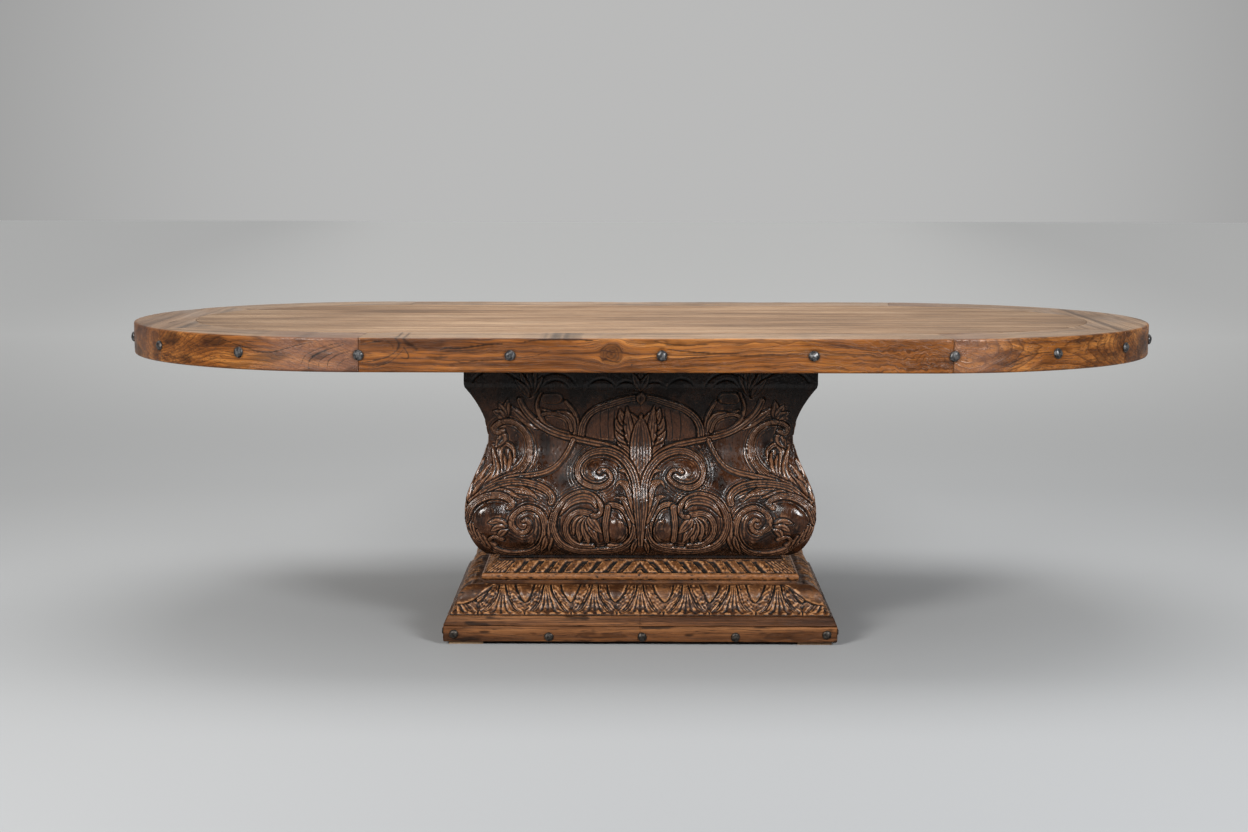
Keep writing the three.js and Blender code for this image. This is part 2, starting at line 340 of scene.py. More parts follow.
def carved_wood(name, deep, dark, middle, light, gloss, specular):
    """Polished carving: depth goes from 0 in the cuts to 1 on the crests. The cuts are painted dark, for
    the old wax in them and as painted shade, and the crests pale, for rubbing and as painted highlight.
    """
    material, tree, surface = new_material(name)
    figure = wood_figure(tree, 0.005)
    patch = noise(tree, figure["grain"], (11.0, 17.0, 17.0), detail=3.0)
    tone = weighted_sum(tree, (figure["streak"], 0.45), (patch, 0.55))
    lines = strongest(tree, (figure["rings"], 0.5), (figure["hairlines"], 0.6))
    base = mix_colour(tree, remap(tree, tone, 0.42, 0.58), dark, middle)
    base = mix_colour(tree, attribute(tree, "worn"), base, [1.5 * c for c in middle])
    base = mix_colour(tree, lines, base, dark)
    blotch = noise(tree, figure["grain"], (60.0, 110.0, 110.0), detail=4.0, roughness=0.65)
    uneven = remap(tree, blotch, 0.3, 0.7, -0.27, 0.27, smooth=False)
    # Crests painted paler and cuts darker: partly rubbed wood and old wax, partly painted highlight and
    # painted shade.
    crest = math_node(tree, "ADD", attribute(tree, "depth"), uneven)
    colour = mix_colour(tree, remap(tree, crest, 0.66, 1.06), base, light)
    colour = mix_colour(tree, remap(tree, crest, 0.50, 0.24), colour, deep)
    colour = brighten(tree, colour, figure["fibre"], 0.72, 1.28)
    # Painted shade: the neck under the overhanging table top is darkened here.
    shade_under_top = math_node(tree, "MULTIPLY", attribute(tree, "stain"), 0.9)
    colour = mix_colour(tree, shade_under_top, colour, deep)
    shine = math_node(tree, "ADD", crest, remap(tree, figure["cloud"], 0.3, 0.7, -0.15, 0.15))
    tooling = noise(tree, figure["grain"], (110.0, 260.0, 260.0), detail=3.0)
    height = weighted_sum(tree, (tooling, 1.0), (figure["fibre"], 0.5), (lines, -0.35))
    dress(tree, surface, colour, remap(tree, shine, 0.25, 0.75, *gloss), bump(tree, height, 0.0006, 0.45))
    surface.inputs["Specular IOR Level"].default_value = specular
    return material


def forged_iron(name, dark, light):
    material, tree, surface = new_material(name)
    place = add_node(tree, "ShaderNodeTexCoord").outputs["Object"]
    sockets = {"Vector": place, "Scale": 190.0, "Smoothness": 0.6}
    dents = add_node(tree, "ShaderNodeTexVoronoi", sockets, feature="SMOOTH_F1").outputs["Distance"]
    grime = noise(tree, place, (160.0, 160.0, 160.0), detail=4.0)
    rust = noise(tree, place, (60.0, 60.0, 60.0), detail=5.0)
    colour = mix_colour(tree, remap(tree, grime, 0.4, 0.62), dark, light)
    colour = mix_colour(tree, remap(tree, rust, 0.55, 0.70, 0.0, 0.6), colour, RUST)
    height = weighted_sum(tree, (dents, 1.0), (grime, 0.4))
    dress(tree, surface, colour, remap(tree, grime, 0.3, 0.7, 0.56, 0.38), bump(tree, height, 0.0006, 0.5))
    surface.inputs["Metallic"].default_value = 0.6
    return material


def sawn_softwood():
    """Rough hidden boards, with the grain along X."""
    material, tree, surface = new_material("sawn_softwood")
    place = add_node(tree, "ShaderNodeTexCoord").outputs["Object"]
    streak = noise(tree, place, (3.0, 60.0, 60.0), detail=5.0)
    saw_marks = noise(tree, place, (260.0, 6.0, 6.0), detail=2.0)
    colour = mix_colour(tree, remap(tree, streak, 0.3, 0.7), (0.13, 0.075, 0.04), (0.36, 0.24, 0.14))
    roughness = remap(tree, streak, 0.3, 0.7, 0.85, 0.65)
    dress(tree, surface, colour, roughness, bump(tree, saw_marks, 0.0008, 0.5))
    return material


# Palettes: dark, middle, light.
# The top's palette: greyed old wood, made paler and greyer still by a painted sheen.
GREYED_WITH_SHEEN = ((0.105, 0.061, 0.034), (0.325, 0.208, 0.126), (0.470, 0.325, 0.210))
HONEY = ((0.034, 0.010, 0.0027), (0.206, 0.076, 0.0165), (0.415, 0.182, 0.048))
UMBER = ((0.027, 0.010, 0.0036), (0.134, 0.056, 0.021), (0.280, 0.132, 0.055))
# The cooler brown that old wood turns to, which also stands for a painted sheen, and what old iron turns
# to.
AGED_AND_SHEEN_BROWN = (0.150, 0.080, 0.058)
RUST = (0.060, 0.034, 0.020)

TOP_WOOD = wood("plank_wood", GREYED_WITH_SHEEN, ring_width=0.0055, gloss=(0.48, 0.62), ring_depth=0.6,
                hair_depth=0.65, band_depth=0.35, crack_depth=0.6)
RIM_WOOD = wood("rim_wood", HONEY, GREYED_WITH_SHEEN, ring_width=0.006, gloss=(0.28, 0.44), ring_depth=0.95,
                hair_depth=0.75, band_depth=0.5, specular=0.34)
PLINTH_WOOD = wood("plinth_wood", UMBER, gloss=(0.40, 0.60), specular=0.22)
CARVED_WOOD = carved_wood("carved_walnut", (0.002, 0.0012, 0.0008), (0.011, 0.0048, 0.0028),
                          (0.060, 0.024, 0.0110), (0.165, 0.086, 0.049), gloss=(0.56, 0.14), specular=0.45)
MOULDING_WOOD = carved_wood("moulding_wood", (0.003, 0.0016, 0.0008), (0.042, 0.017, 0.0070),
                            (0.142, 0.063, 0.0245), (0.315, 0.165, 0.078), gloss=(0.72, 0.32), specular=0.4)
IRON = forged_iron("forged_iron", (0.028, 0.028, 0.030), (0.130, 0.128, 0.127))
BROWNED_IRON = forged_iron("browned_iron", (0.018, 0.016, 0.014), (0.070, 0.060, 0.052))
SOFTWOOD = sawn_softwood()


# ---- The top

SPOKE_GAP = 0.002  # between the rim's rows of vertices


def end_spokes(side, start, stop):
    """Spokes round one rounded end, between two angles in degrees. A spoke is (centre x, cosine, sine)."""
    count = max(2, int(abs(math.radians(stop - start)) * END_REACH / SPOKE_GAP))
    angles = np.radians(np.linspace(start, stop, count))
    return [(side * STRAIGHT_X, math.cos(a), math.sin(a)) for a in angles]


def straight_spokes(start, stop, sine):
    count = int(abs(stop - start) / SPOKE_GAP)
    return [(x, 0.0, sine) for x in np.linspace(start, stop, count)]


def rim_spokes():
    """Each rim board's spokes, anticlockwise seen from above."""
    near_left, far_left = SEAM_ANGLES["left"]
    near_right, far_right = SEAM_ANGLES["right"]
    return {
        "rim_front": straight_spokes(-STRAIGHT_X, STRAIGHT_X, -1)[:-1] + end_spokes(1, -90, -near_right),
        "rim_right_front": end_spokes(1, -near_right, -far_right),
        "rim_right_end": end_spokes(1, -far_right, far_right),
        "rim_right_back": end_spokes(1, far_right, near_right),
        "rim_back": end_spokes(1, near_right, 90)[:-1] + straight_spokes(STRAIGHT_X, -STRAIGHT_X, 1),
        "rim_left_back": end_spokes(-1, near_left, 180 - far_left),
        "rim_left_end": end_spokes(-1, 180 - far_left, 180 + far_left),
        "rim_left_front": end_spokes(-1, 180 + far_left, 360 - near_left),
    }


def rim_section():
    """The rim's outline in (inset, z), from the ledge round the underside and the outer face to the top."""
    ledge = PLANK_BOTTOM - GAP
    round_over = 0.005
    step = 0.0018
    corner = np.radians(np.linspace(0, 90, 6))
    points = [(RIM_WIDTH, ledge), (RIM_WIDTH + LEDGE_WIDTH, ledge), (RIM_WIDTH + LEDGE_WIDTH, RIM_BOTTOM)]
    for inset in np.arange(RIM_WIDTH, round_over, -0.010):
        points.append((inset, RIM_BOTTOM))
    for a in corner:
        points.append((round_over * (1 - math.sin(a)), RIM_BOTTOM + round_over * (1 - math.cos(a))))
    for z in np.arange(RIM_BOTTOM + round_over + step, TOP_Z - round_over - step / 2, step):
        points.append((0.0, z))
    for a in corner:
        points.append((round_over * (1 - math.cos(a)), TOP_Z - round_over * (1 - math.sin(a))))
    for inset in np.arange(round_over + 0.004, RIM_WIDTH - 0.003, 0.006):
        points.append((inset, TOP_Z))
    points += [(RIM_WIDTH - 0.0012, TOP_Z), (RIM_WIDTH - 0.0003, TOP_Z - 0.0009)]
    return np.array(points)


def nail_places():
    """Where each rim nail meets the wood, and which way it faces, from the CAD nails."""
    places = {}
    for node in sorted(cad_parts):
        if not node.startswith("rim_nail"):
            continue
        low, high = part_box(node)
        middle = (low + high) / 2
        centre_x = min(max(middle.x, -STRAIGHT_X), STRAIGHT_X)
        angle = math.atan2(middle.y / HALF_WIDTH, (middle.x - centre_x) / END_REACH)
        out = Vector((math.cos(angle) / END_REACH, math.sin(angle) / HALF_WIDTH, 0)).normalized()
        spot = Vector((centre_x + END_REACH * math.cos(angle), HALF_WIDTH * math.sin(angle), middle.z))
        places[node] = (spot, out)
    return places


# The figure of each rim board's outer face. A place is its X and its height.

# Swirls: place, size and ring count.
SWIRLS = {
    "rim_front": [((0.655, 0.724), (0.045, 0.028), 4.0)],
    "rim_right_front": [((0.705, 0.721), (0.085, 0.034), 7.0)],
    "rim_back": [((-0.420, 0.726), (0.060, 0.030), 5.0)],
}
# Knots: place and radius. The grain flows round each one.
KNOTS = {"rim_front": [((-0.067, 0.730), 0.024)], "rim_back": [((0.300, 0.728), 0.020)]}
# Dark lines: half width, darkness, and the points they run through. Millimetres.
LINES = {
    "rim_left_front": [
        (0.9, 0.9, [(-957, 754), (-925, 745), (-893, 737), (-866, 730), (-831, 731),
                    (-797, 740), (-767, 749), (-735, 756)]),
        (1.0, 0.9, [(-748, 694), (-747, 711), (-733, 725), (-705, 738), (-668, 750)]),
        (0.8, 0.7, [(-765, 706), (-757, 722), (-735, 736), (-700, 748), (-662, 757)]),
        (0.9, 0.8, [(-705, 700), (-702, 713), (-683, 726), (-655, 735)]),
        (0.7, 0.6, [(-725, 698), (-722, 713), (-700, 728), (-668, 739)]),
        (0.7, 0.6, [(-683, 694), (-679, 706), (-664, 717), (-647, 722)]),
    ],
    "rim_front": [
        (2.4, 0.8, [(-551, 764), (-543, 750), (-548, 737)]),
        (0.9, 0.9, [(-548, 737), (-568, 723), (-603, 713), (-628, 710)]),
        (3.4, 0.7, [(-534, 764), (-520, 752), (-504, 740)]),
        (2.0, 0.5, [(-575, 762), (-562, 752), (-556, 742)]),
        (0.9, 0.9, [(-540, 755), (-528, 737), (-522, 724), (-527, 718), (-540, 722)]),
        (0.8, 0.8, [(-534, 738), (-560, 714), (-590, 702), (-618, 696)]),
        (0.7, 0.6, [(-556, 722), (-580, 708), (-606, 702)]),
        (1.3, 0.9, [(-604, 756), (-590, 757), (-578, 759)]),
        (1.5, 1.0, [(-450, 739), (-436, 743), (-409, 742), (-375, 746), (-341, 751),
                    (-312, 752)]),
        (1.7, 0.6, [(-446, 735), (-418, 736), (-385, 738), (-352, 743), (-330, 745)]),
        (1.4, 0.5, [(-400, 733), (-372, 733), (-345, 737)]),
        (1.8, 0.8, [(-262, 757), (-230, 761), (-199, 763), (-150, 763), (-110, 760)]),
        (0.9, 0.7, [(-423, 717), (-401, 710), (-367, 714), (-332, 716), (-307, 718),
                    (-246, 724), (-205, 736)]),
        (2.4, 0.6, [(-482, 722), (-455, 720), (-435, 723)]),
        (1.2, 1.0, [(-5, 731), (-3, 731)]),
        (1.0, 0.9, [(-22, 705), (-20, 706)]),
        (1.0, 0.8, [(40, 743), (60, 741), (110, 735), (160, 732), (220, 731)]),
        (1.0, 0.7, [(30, 759), (60, 752), (100, 750), (150, 752)]),
        (1.6, 0.6, [(200, 727), (235, 726), (290, 729), (330, 726)]),
        (1.5, 0.6, [(255, 703), (285, 703), (310, 706)]),
    ],
    "rim_right_front": [
        (0.9, 0.8, [(940, 731), (895, 728), (864, 721), (845, 712), (820, 703)]),
        (0.8, 0.6, [(890, 720), (860, 709), (830, 698)]),
    ],
}
# Where along X each board is painted a cooler, pinker brown, for its age and as a painted sheen: from, to,
# and how far.
AGED_AND_SHEEN = {
    "rim_left_front": (-0.900, -0.800, 1.0),
    "rim_right_front": (0.840, 0.780, 0.8),
    "rim_left_end": (-1.100, -1.140, 0.35),
    "rim_right_back": (0.950, 0.800, 0.7),
}
# How strongly each board's face is blotched with dark patches, where it is more than usual.
MOTTLED = {"rim_left_front": 0.45, "rim_left_end": 0.60, "rim_right_end": 0.50, "rim_right_front": 0.25}


def away_from_line(x, z, points):
    """Every vertex's distance to a smooth line through the points, and how far along it the nearest is."""
    line = spline(points)
    best = np.full(x.shape, 9.0)
    place = np.zeros(x.shape)
    for k in range(len(line) - 1):
        (x0, z0), (x1, z1) = line[k], line[k + 1]
        run = (x1 - x0) ** 2 + (z1 - z0) ** 2
        share = np.clip(((x - x0) * (x1 - x0) + (z - z0) * (z1 - z0)) / run, 0, 1)
        distance = np.hypot(x - x0 - share * (x1 - x0), z - z0 - share * (z1 - z0))
        place = np.where(distance < best, (k + share) / (len(line) - 1), place)
        best = np.minimum(best, distance)
    return best, place


def face_figure(name, x, z, seed):
    """How the grain rises, the extra ring phase, and the dark marks in a rim board's face."""
    rise = 0.007 * ripple(x * 0.35, z * 0.5, 0.10, seed) + 0.0012 * ripple(x, z, 0.035, seed + 1)
    curly = np.exp(-(((x - 0.600) / 0.110) ** 2)) if name == "rim_front" else 0.0
    rise = rise + curly * (0.0022 * ripple(x, z, 0.009, seed + 2) + 0.004 * ripple(x, z, 0.025, seed + 3))
    swirl = np.zeros_like(x)
    stain = np.zeros_like(x)
    for (along, height), (reach, tall), count in SWIRLS.get(name, []):
        distance = np.hypot((x - along) / reach, (z - height) / tall)
        swirl += count * np.maximum(0.0, 1 - distance) * (1 + 0.06 * ripple(x, z, 0.020, seed + 4))
    for (along, height), radius in KNOTS.get(name, []):
        distance = np.hypot(x - along, (z - height) * 1.05) * (1 + 0.05 * ripple(x, z, 0.015, seed + 5))
        part = (z - height) * (radius / np.maximum(distance, radius)) ** 2
        rise -= part * np.exp(-((distance / (4 * radius)) ** 2))
        swirl += 3.0 * np.maximum(0.0, 1 - distance / radius)
        ring = np.exp(-(((distance - radius) / 0.0030) ** 2))
        speckle = 0.5 + 0.5 * ripple(x, z, 0.006, seed + 6)
        heart = 1 - smoothstep(0.7 * radius, 1.05 * radius, distance)
        stain += 0.42 * ring + (0.34 + 0.22 * speckle) * heart
    scar = np.zeros_like(x)
    for width, dark, points in LINES.get(name, []):
        distance, place = away_from_line(x, z, np.array(points) / 1000)
        taper = 0.60 + 0.90 * np.sin(math.pi * np.clip(place, 0.05, 0.95))
        ragged = 1 + 0.35 * ripple(x, z, 0.008, seed + 7)
        scar = np.maximum(scar, dark * np.exp(-((distance / (0.001 * width * taper * ragged)) ** 2)))
    blotches = MOTTLED.get(name, 0.12) * smoothstep(0.2, 1.1, ripple(x * 0.7, z, 0.030, seed + 8))
    return rise, swirl, np.clip(stain + scar + blotches, 0, 1), scar


def rim_surface(spokes, section, seed):
    """A rim board's x, y and z, the count of rows from its end, and which way its face looks, as grids."""
    inset, height = section[None, :, 0], section[None, :, 1]
    centre_x, cosine, sine = (spokes[:, i][:, None] for i in range(3))
    x = centre_x + (END_REACH - inset) * cosine
    y = (HALF_WIDTH - inset) * sine
    z = np.broadcast_to(height, x.shape)
    # Old boards are never quite flat: the outer face waves a little, and the ends are eased.
    wave = 0.0007 * ripple(x + y, z, 0.10, seed) + 0.00025 * ripple(x + y, z * 2, 0.02, seed + 30)
    end = np.minimum(np.arange(len(spokes)), np.arange(len(spokes))[::-1])[:, None]
    sink = np.minimum(wave, 0.0004) - 0.0004 - 0.0011 * np.exp(-((end / 0.6) ** 2))
    sink = np.where(inset > RIM_WIDTH - 0.001, 0.0, sink)
    edge = np.gradient(np.vstack([section[-1], section, section[0]]), axis=0)[1:-1]
    facing_out = edge[:, 1] / np.maximum(np.linalg.norm(edge, axis=1), 1e-9)
    out_x, out_y = facing_out * cosine, facing_out * sine
    z = z + np.where(height > TOP_Z - 0.006, 0.6 * sink, 0.0)
    return x + sink * out_x, y + sink * out_y, z, end, out_x, out_y


def end_shade(x):
    """The painted shade that darkens the top towards its rounded ends."""
    return 0.22 * smoothstep(0.30, 1.05, np.abs(x))


def rim_grain(x, y, z, seed):
    """Grain coordinates that run along a rim board's chord."""
    middle = x.shape[1] // 2
    chord = np.array([x[-1, middle] - x[0, middle], y[-1, middle] - y[0, middle]])
    chord /= np.linalg.norm(chord)
    rng = np.random.default_rng(seed)
    pith = np.array([rng.uniform(-3, 3), rng.uniform(0.05, 0.12), rng.uniform(-0.03, 0.05)])
    along = x * chord[0] + y * chord[1]
    across = x * chord[1] - y * chord[0]
    return np.stack([along + pith[0], across - across.max() + pith[1], z - TOP_Z + pith[2]], -1)


def iron_stains(x, y, z, nails):
    """The dark halo that each nail has left in the wood round it."""
    stain = np.zeros(x.shape)
    for spot, _ in nails.values():
        distance = np.sqrt((x - spot.x) ** 2 + (y - spot.y) ** 2 + (z - spot.z) ** 2)
        stain = np.maximum(stain, 0.45 * np.exp(-((distance / 0.0165) ** 6)))
    return stain


def rim_age(name, x):
    """How far a rim board is painted cooler and browner: partly its age, partly a painted sheen."""
    start, full, amount = AGED_AND_SHEEN.get(name, (0.0, 1.0, 0.0))
    return amount * np.clip((x - start) / (full - start), 0, 1)


def make_rim(nails):
    section = rim_section()
    columns = len(section)
    # The rim's top face gets the top's greyer palette, a painted sheen, and painted shade towards the ends.
    top_side = smoothstep(0.0, 0.010, section[:, 0]) * (section[:, 1] > TOP_Z - 0.004)
    for index, (name, spokes) in enumerate(rim_spokes().items()):
        x, y, z, end, out_x, out_y = rim_surface(np.array(spokes), section, 10 + index)
        rise, swirl, stain, scar = face_figure(name, x, z, 700 + 10 * index)
        x = x - 0.0006 * scar * out_x
        y = y - 0.0006 * scar * out_y
        grain = rim_grain(x, y, z + rise, 70 + index)
        stain = np.maximum(stain, iron_stains(x, y, z, nails))
        stain = np.maximum(stain, 0.45 * np.exp(-((end / 0.8) ** 2)))  # dirt in the joints
        # Painted shade over the top towards its rounded ends.
        stain = np.maximum(stain, end_shade(x) * top_side)
        rows = len(spokes)
        faces = grid_faces(rows, columns, wrap=True)
        faces.append(list(range(columns))[::-1])
        faces.append(list(range((rows - 1) * columns, rows * columns)))
        make_piece(name + "_board", np.stack([x, y, z], -1), faces, RIM_WOOD, "rim_wood", [name],
                   grain=grain, swirl=swirl, stain=stain, worn=np.broadcast_to(top_side, x.shape),
                   age=rim_age(name, x))


def field_end(y):
    """How far the planks reach along X at a distance y from the middle."""
    share = np.clip(np.abs(y) / FIELD_HALF_WIDTH, 0, 1)
    return STRAIGHT_X + (END_REACH - RIM_WIDTH) * np.sqrt(1 - share**2) - 0.0002


def plank_surface(index, low, high):
    """A plank's x, y and z, as grids: rows run from end to end, columns over its width."""
    rows, columns = 300, 34
    ease = 0.0012
    thickness = high.z - low.z
    share = np.linspace(0, 1, columns)
    if index in (0, PLANKS - 1):
        share = (1 - np.cos(math.pi * share)) / 2  # an outer plank's ends curve fast near its edge
    y = low.y + ease + (high.y - low.y - 2 * ease) * share
    y = np.concatenate([[low.y, low.y, low.y + ease / 3], y, [high.y - ease / 3, high.y, high.y]])
    rounding = [thickness, ease, ease / 3]
    side_drop = np.concatenate([rounding, np.zeros(columns), rounding[::-1]])
    half_end = np.array([0.9996, 0.9999, 0.9999])
    across = np.concatenate([-half_end[::-1], np.linspace(-0.9992, 0.9992, rows), half_end])
    rounding = [thickness, 0.0009, 0.0002]
    end_drop = np.concatenate([rounding, np.zeros(rows), rounding[::-1]])
    x = across[:, None] * field_end(y)[None, :]
    y = np.broadcast_to(y[None, :], x.shape)
    # The boards have moved a little since they were planed.
    cup = -0.0003 * (1 + np.clip(ripple(x * 0.15, y, 0.05, 200 + index), -1, 1))
    fade = smoothstep(0.0, 0.02, field_end(y) - np.abs(x))
    return x, y, high.z - np.maximum(side_drop[None, :], end_drop[:, None]) + cup * fade


def make_planks():
    for i in range(PLANKS):
        name = f"top_plank_{i + 1}"
        low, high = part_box(name)
        x, y, z = plank_surface(i, low, high)
        rows, columns = x.shape
        faces = grid_faces(rows, columns, flip=True)
        grid = np.arange(rows * columns).reshape(rows, columns)
        underside = [*grid[:-1, 0], *grid[-1, :-1], *grid[:0:-1, -1], *grid[0, :0:-1]]
        faces.append([int(corner) for corner in underside])
        rng = np.random.default_rng(300 + i)
        pith = np.array([rng.uniform(-4, 4), rng.uniform(-0.03, 0.03), rng.uniform(0.05, 0.11)])
        grain = np.stack([x + pith[0], y - (low.y + high.y) / 2 + pith[1], z - TOP_Z + pith[2]], -1)
        near_end = smoothstep(0.10, 0.0, field_end(y) - np.abs(x))
        seam = np.minimum(y - low.y, high.y - y)
        # Dark seams, a little darker near the planks' ends, and painted shade towards the top's rounded
        # ends.
        stain = 0.60 * np.exp(-((seam / 0.0016) ** 2)) + 0.06 * near_end + end_shade(x)
        make_piece(name + "_board", np.stack([x, y, z], -1), faces, TOP_WOOD, "plank_wood", [name],
                   grain=grain, stain=np.clip(stain, 0, 1))


# ---- Nails

def nail_mesh(radius, height, seed):
    """A hammered nail head that faces +X, with a square shank behind it."""
    rng = np.random.default_rng(seed)
    rings, sides = 12, 32
    angle = np.linspace(0, 2 * math.pi, sides, endpoint=False)
    facets = []
    for _ in range(8):
        facets.append((rng.uniform(0, 2 * math.pi), rng.uniform(0.15, 0.8), rng.uniform(0.02, 0.07)))
    vertices = []
    for k in range(rings):
        rise = math.radians(-12 + 100 * k / (rings - 1))
        for a in angle:
            uneven = 1 + 0.035 * math.sin(2 * a + seed) + 0.02 * math.sin(5 * a + seed)
            reach = radius * math.cos(rise) * uneven
            out = height * max(math.sin(rise), -0.05)
            for bearing, share, cut in facets:
                away = math.hypot(reach / radius * math.cos(a) - share * math.cos(bearing),
                                  reach / radius * math.sin(a) - share * math.sin(bearing))
                out -= height * cut * max(0.0, 1 - (away / 0.42) ** 2)
            vertices.append((out, reach * math.cos(a), reach * math.sin(a)))
    vertices.append((vertices[-1][0], 0, 0))
    vertices.append((-0.0004, 0, 0))
    faces = grid_faces(rings, sides, wrap=True)
    tip, base = len(vertices) - 2, len(vertices) - 1
    for j in range(sides):
        b = (j + 1) % sides
        faces.append(((rings - 1) * sides + j, (rings - 1) * sides + b, tip))
        faces.append((b, j, base))
    shank = 0.0029
    start = len(vertices)
    for x, w in ((-0.0006, shank), (-0.030, shank), (-0.037, shank / 3)):
        vertices += [(x, w, w), (x, -w, w), (x, -w, -w), (x, w, -w)]
    for k in (0, 4):
        for j in range(4):
            a, b = start + k + j, start + k + (j + 1) % 4
            faces.append((b, a, a + 4, b + 4))
    faces.append(tuple(start + j for j in range(4)))
    faces.append(tuple(start + 8 + j for j in (3, 2, 1, 0)))
    return vertices, faces


def make_nail(name, spot, out, radius, height, iron, seed, replaces=()):
    vertices, faces = nail_mesh(radius, height, seed)
    bed = spot - out * 0.0002  # the head sits a little into the wood
    roll = Matrix.Rotation(seed * 1.7, 3, "X")
    turn = Matrix.Rotation(math.atan2(out.y, out.x), 3, "Z")
    placed = [tuple(turn @ (roll @ Vector(v)) + bed) for v in vertices]
    make_piece(name, placed, faces, iron, "forged_iron", replaces)


def make_rim_nails(nails):
    for index, (node, (spot, out)) in enumerate(nails.items()):
        make_nail(node + "_forged", spot, out, radius=0.0122, height=0.0080, iron=IRON, seed=index + 1,
                  replaces=[node])


def make_plinth_nails():
    """Five nails at the front and the back, four on each side; those by the corners sit higher."""
    half_x, half_y = FASCIA_HIGH.x, -FASCIA_LOW.y
    corner_z = FASCIA_LOW.z + 0.019
    middle_z = FASCIA_LOW.z + 0.013
    spots = []
    for x in (-0.450, -0.220, 0.005, 0.230, 0.450):
        z = corner_z if abs(x) > 0.4 else middle_z
        spots += [((x, -half_y, z), (0, -1)), ((x, half_y, z), (0, 1))]
    for y in (-0.312, -0.104, 0.104, 0.312):
        z = corner_z if abs(y) > 0.3 else middle_z
        spots += [((-half_x, y, z), (-1, 0)), ((half_x, y, z), (1, 0))]
    for index, (spot, out) in enumerate(spots):
        make_nail(f"plinth_nail_{index + 1:02d}", Vector(spot), Vector((*out, 0)), radius=0.0110,
                  height=0.0062, iron=BROWNED_IRON, seed=60 + index)


# ---- Carved surfaces

ECHO_RHYTHM = 0.0072  # spacing of the fine lines beside a band


class Relief:
    """A height field over u, the distance from the panel's middle, and z, with strokes cut into it."""

    def __init__(self, u, z):
        self.u = u
        self.z = z
        self.ground = np.zeros_like(u)
        self.field = None
        self.taken = np.zeros_like(u)

    def dome(self, u, z, reach_u, reach_z, height, power=2.0):
        """Swells the ground in an ellipse, or hollows it if height is negative. Millimetres."""
        away = np.hypot((self.u * 1000 - u) / reach_u, (self.z * 1000 - z) / reach_z)
        self.ground += height / 1000 * np.exp(-(away**power))

    def start_cutting(self):
        self.field = self.ground.copy()

    def near(self, path, margin):
        """The part of the panel within a margin of a path, in metres."""
        low, high = path.min(0) - margin, path.max(0) + margin
        return (self.u > low[0]) & (self.u < high[0]) & (self.z > low[1]) & (self.z < high[1])

    def measure(self, path, near):
        """Each near point's distance to the path, its share of the way along, and which side it lies on."""
        u, z = self.u[near], self.z[near]
        lengths = np.hypot(*np.diff(path, axis=0).T)
        best = np.full(u.shape, 1e9)
        place = np.zeros(u.shape)
        side = np.ones(u.shape)
        done = 0.0
        for (u0, z0), (u1, z1), length in zip(path[:-1], path[1:], lengths):
            du, dz = u1 - u0, z1 - z0
            share = np.clip(((u - u0) * du + (z - z0) * dz) / max(length**2, 1e-12), 0, 1)
            square = (u - u0 - share * du) ** 2 + (z - z0 - share * dz) ** 2
            closer = square < best
            best = np.where(closer, square, best)
            place = np.where(closer, (done + share * length) / lengths.sum(), place)
            side = np.where(closer, np.sign((z - z0) * du - (u - u0) * dz), side)
            done += length
        return np.sqrt(best), place, side

    @staticmethod
    def half_width(place, width, taper):
        """A stroke's half width in metres at each place along it. Its own width is in mm."""
        if taper == "leaf":
            return max(width) / 1000 * np.sin(math.pi * np.clip(place, 0.02, 0.98) ** 0.75) ** 0.8 + 0.0006
        half = (width[0] + (width[1] - width[0]) * place) / 1000
        if taper == "tail":
            half = half * (0.30 + 0.70 * smoothstep(0.0, 0.22, place))
        return half

    def stroke(self, points, width, lift=3.0, ridges=3, depth=2.6, tilt=0.0, echo=(0, 0), scoop=0.0,
               taper="none"):
        """Lays a raised band along points in mm, with ridges along it.

        width is its half width at the first and last point. tilt lowers the band towards its right side,
        going along it. echo is how far fine parallel lines run on beside it, to its left and to its right.
        scoop lowers the ground next to it. A leaf tapers at both ends, and a tail only at its first.
        """
        path = np.array(points, float) / 1000
        near = self.near(path, max(width) / 1000 + max(0.024, max(echo) / 1000))
        if not near.any():
            return
        distance, place, side = self.measure(path, near)
        half = self.half_width(place, width, taper)
        across = distance / half
        inside = smoothstep(1.10, 0.96, across)
        crown = np.sqrt(np.clip(1 - across**2, 0, 1))
        surface = lift / 1000 * (0.3 + 0.5 * crown + tilt * side * np.clip(across, 0, 1))
        if ridges > 1:
            phase = np.clip(across, 0, 1) * ridges * math.pi + math.pi * (ridges % 2)
            lines = (0.5 + 0.5 * np.cos(phase)) ** 4
            surface = surface - 0.85 * depth / 1000 * lines * np.clip(half / 0.004, 0.3, 1)
        field = self.field[near]
        beyond = np.maximum(distance - half, 0)
        for reach_on, hand in ((echo[0], 1), (echo[1], -1)):
            if reach_on:
                fade = np.clip(1 - beyond / (reach_on / 1000), 0, 1) ** 0.7 * (side * hand > 0)
                fade = fade * smoothstep(0.0, 0.1, place) * smoothstep(1.0, 0.9, place)
                fade = fade * (1 - self.taken[near])
                lines = (0.5 + 0.5 * np.cos(2 * math.pi * beyond / ECHO_RHYTHM)) ** 4
                field = field - 0.8 * depth / 1000 * lines * fade
        if scoop:
            field = field - scoop / 1000 * np.exp(-((beyond / 0.012) ** 2)) * (1 - self.taken[near])
        field = field * (1 - inside) + (self.ground[near] + surface) * inside
        edge = (distance - half - 0.0004) / 0.0013
        field -= depth * 1.25 / 1000 * np.exp(-(edge**2))
        self.field[near] = field
        self.taken[near] = np.maximum(self.taken[near], inside)

    def groove(self, points, depth=1.4, width=1.2):
        """A single gouged line along points in mm."""
        path = np.array(points, float) / 1000
        near = self.near(path, 0.006)
        distance, _, _ = self.measure(path, near)
        self.field[near] -= depth / 1000 * np.exp(-((distance / (width / 1000)) ** 2))


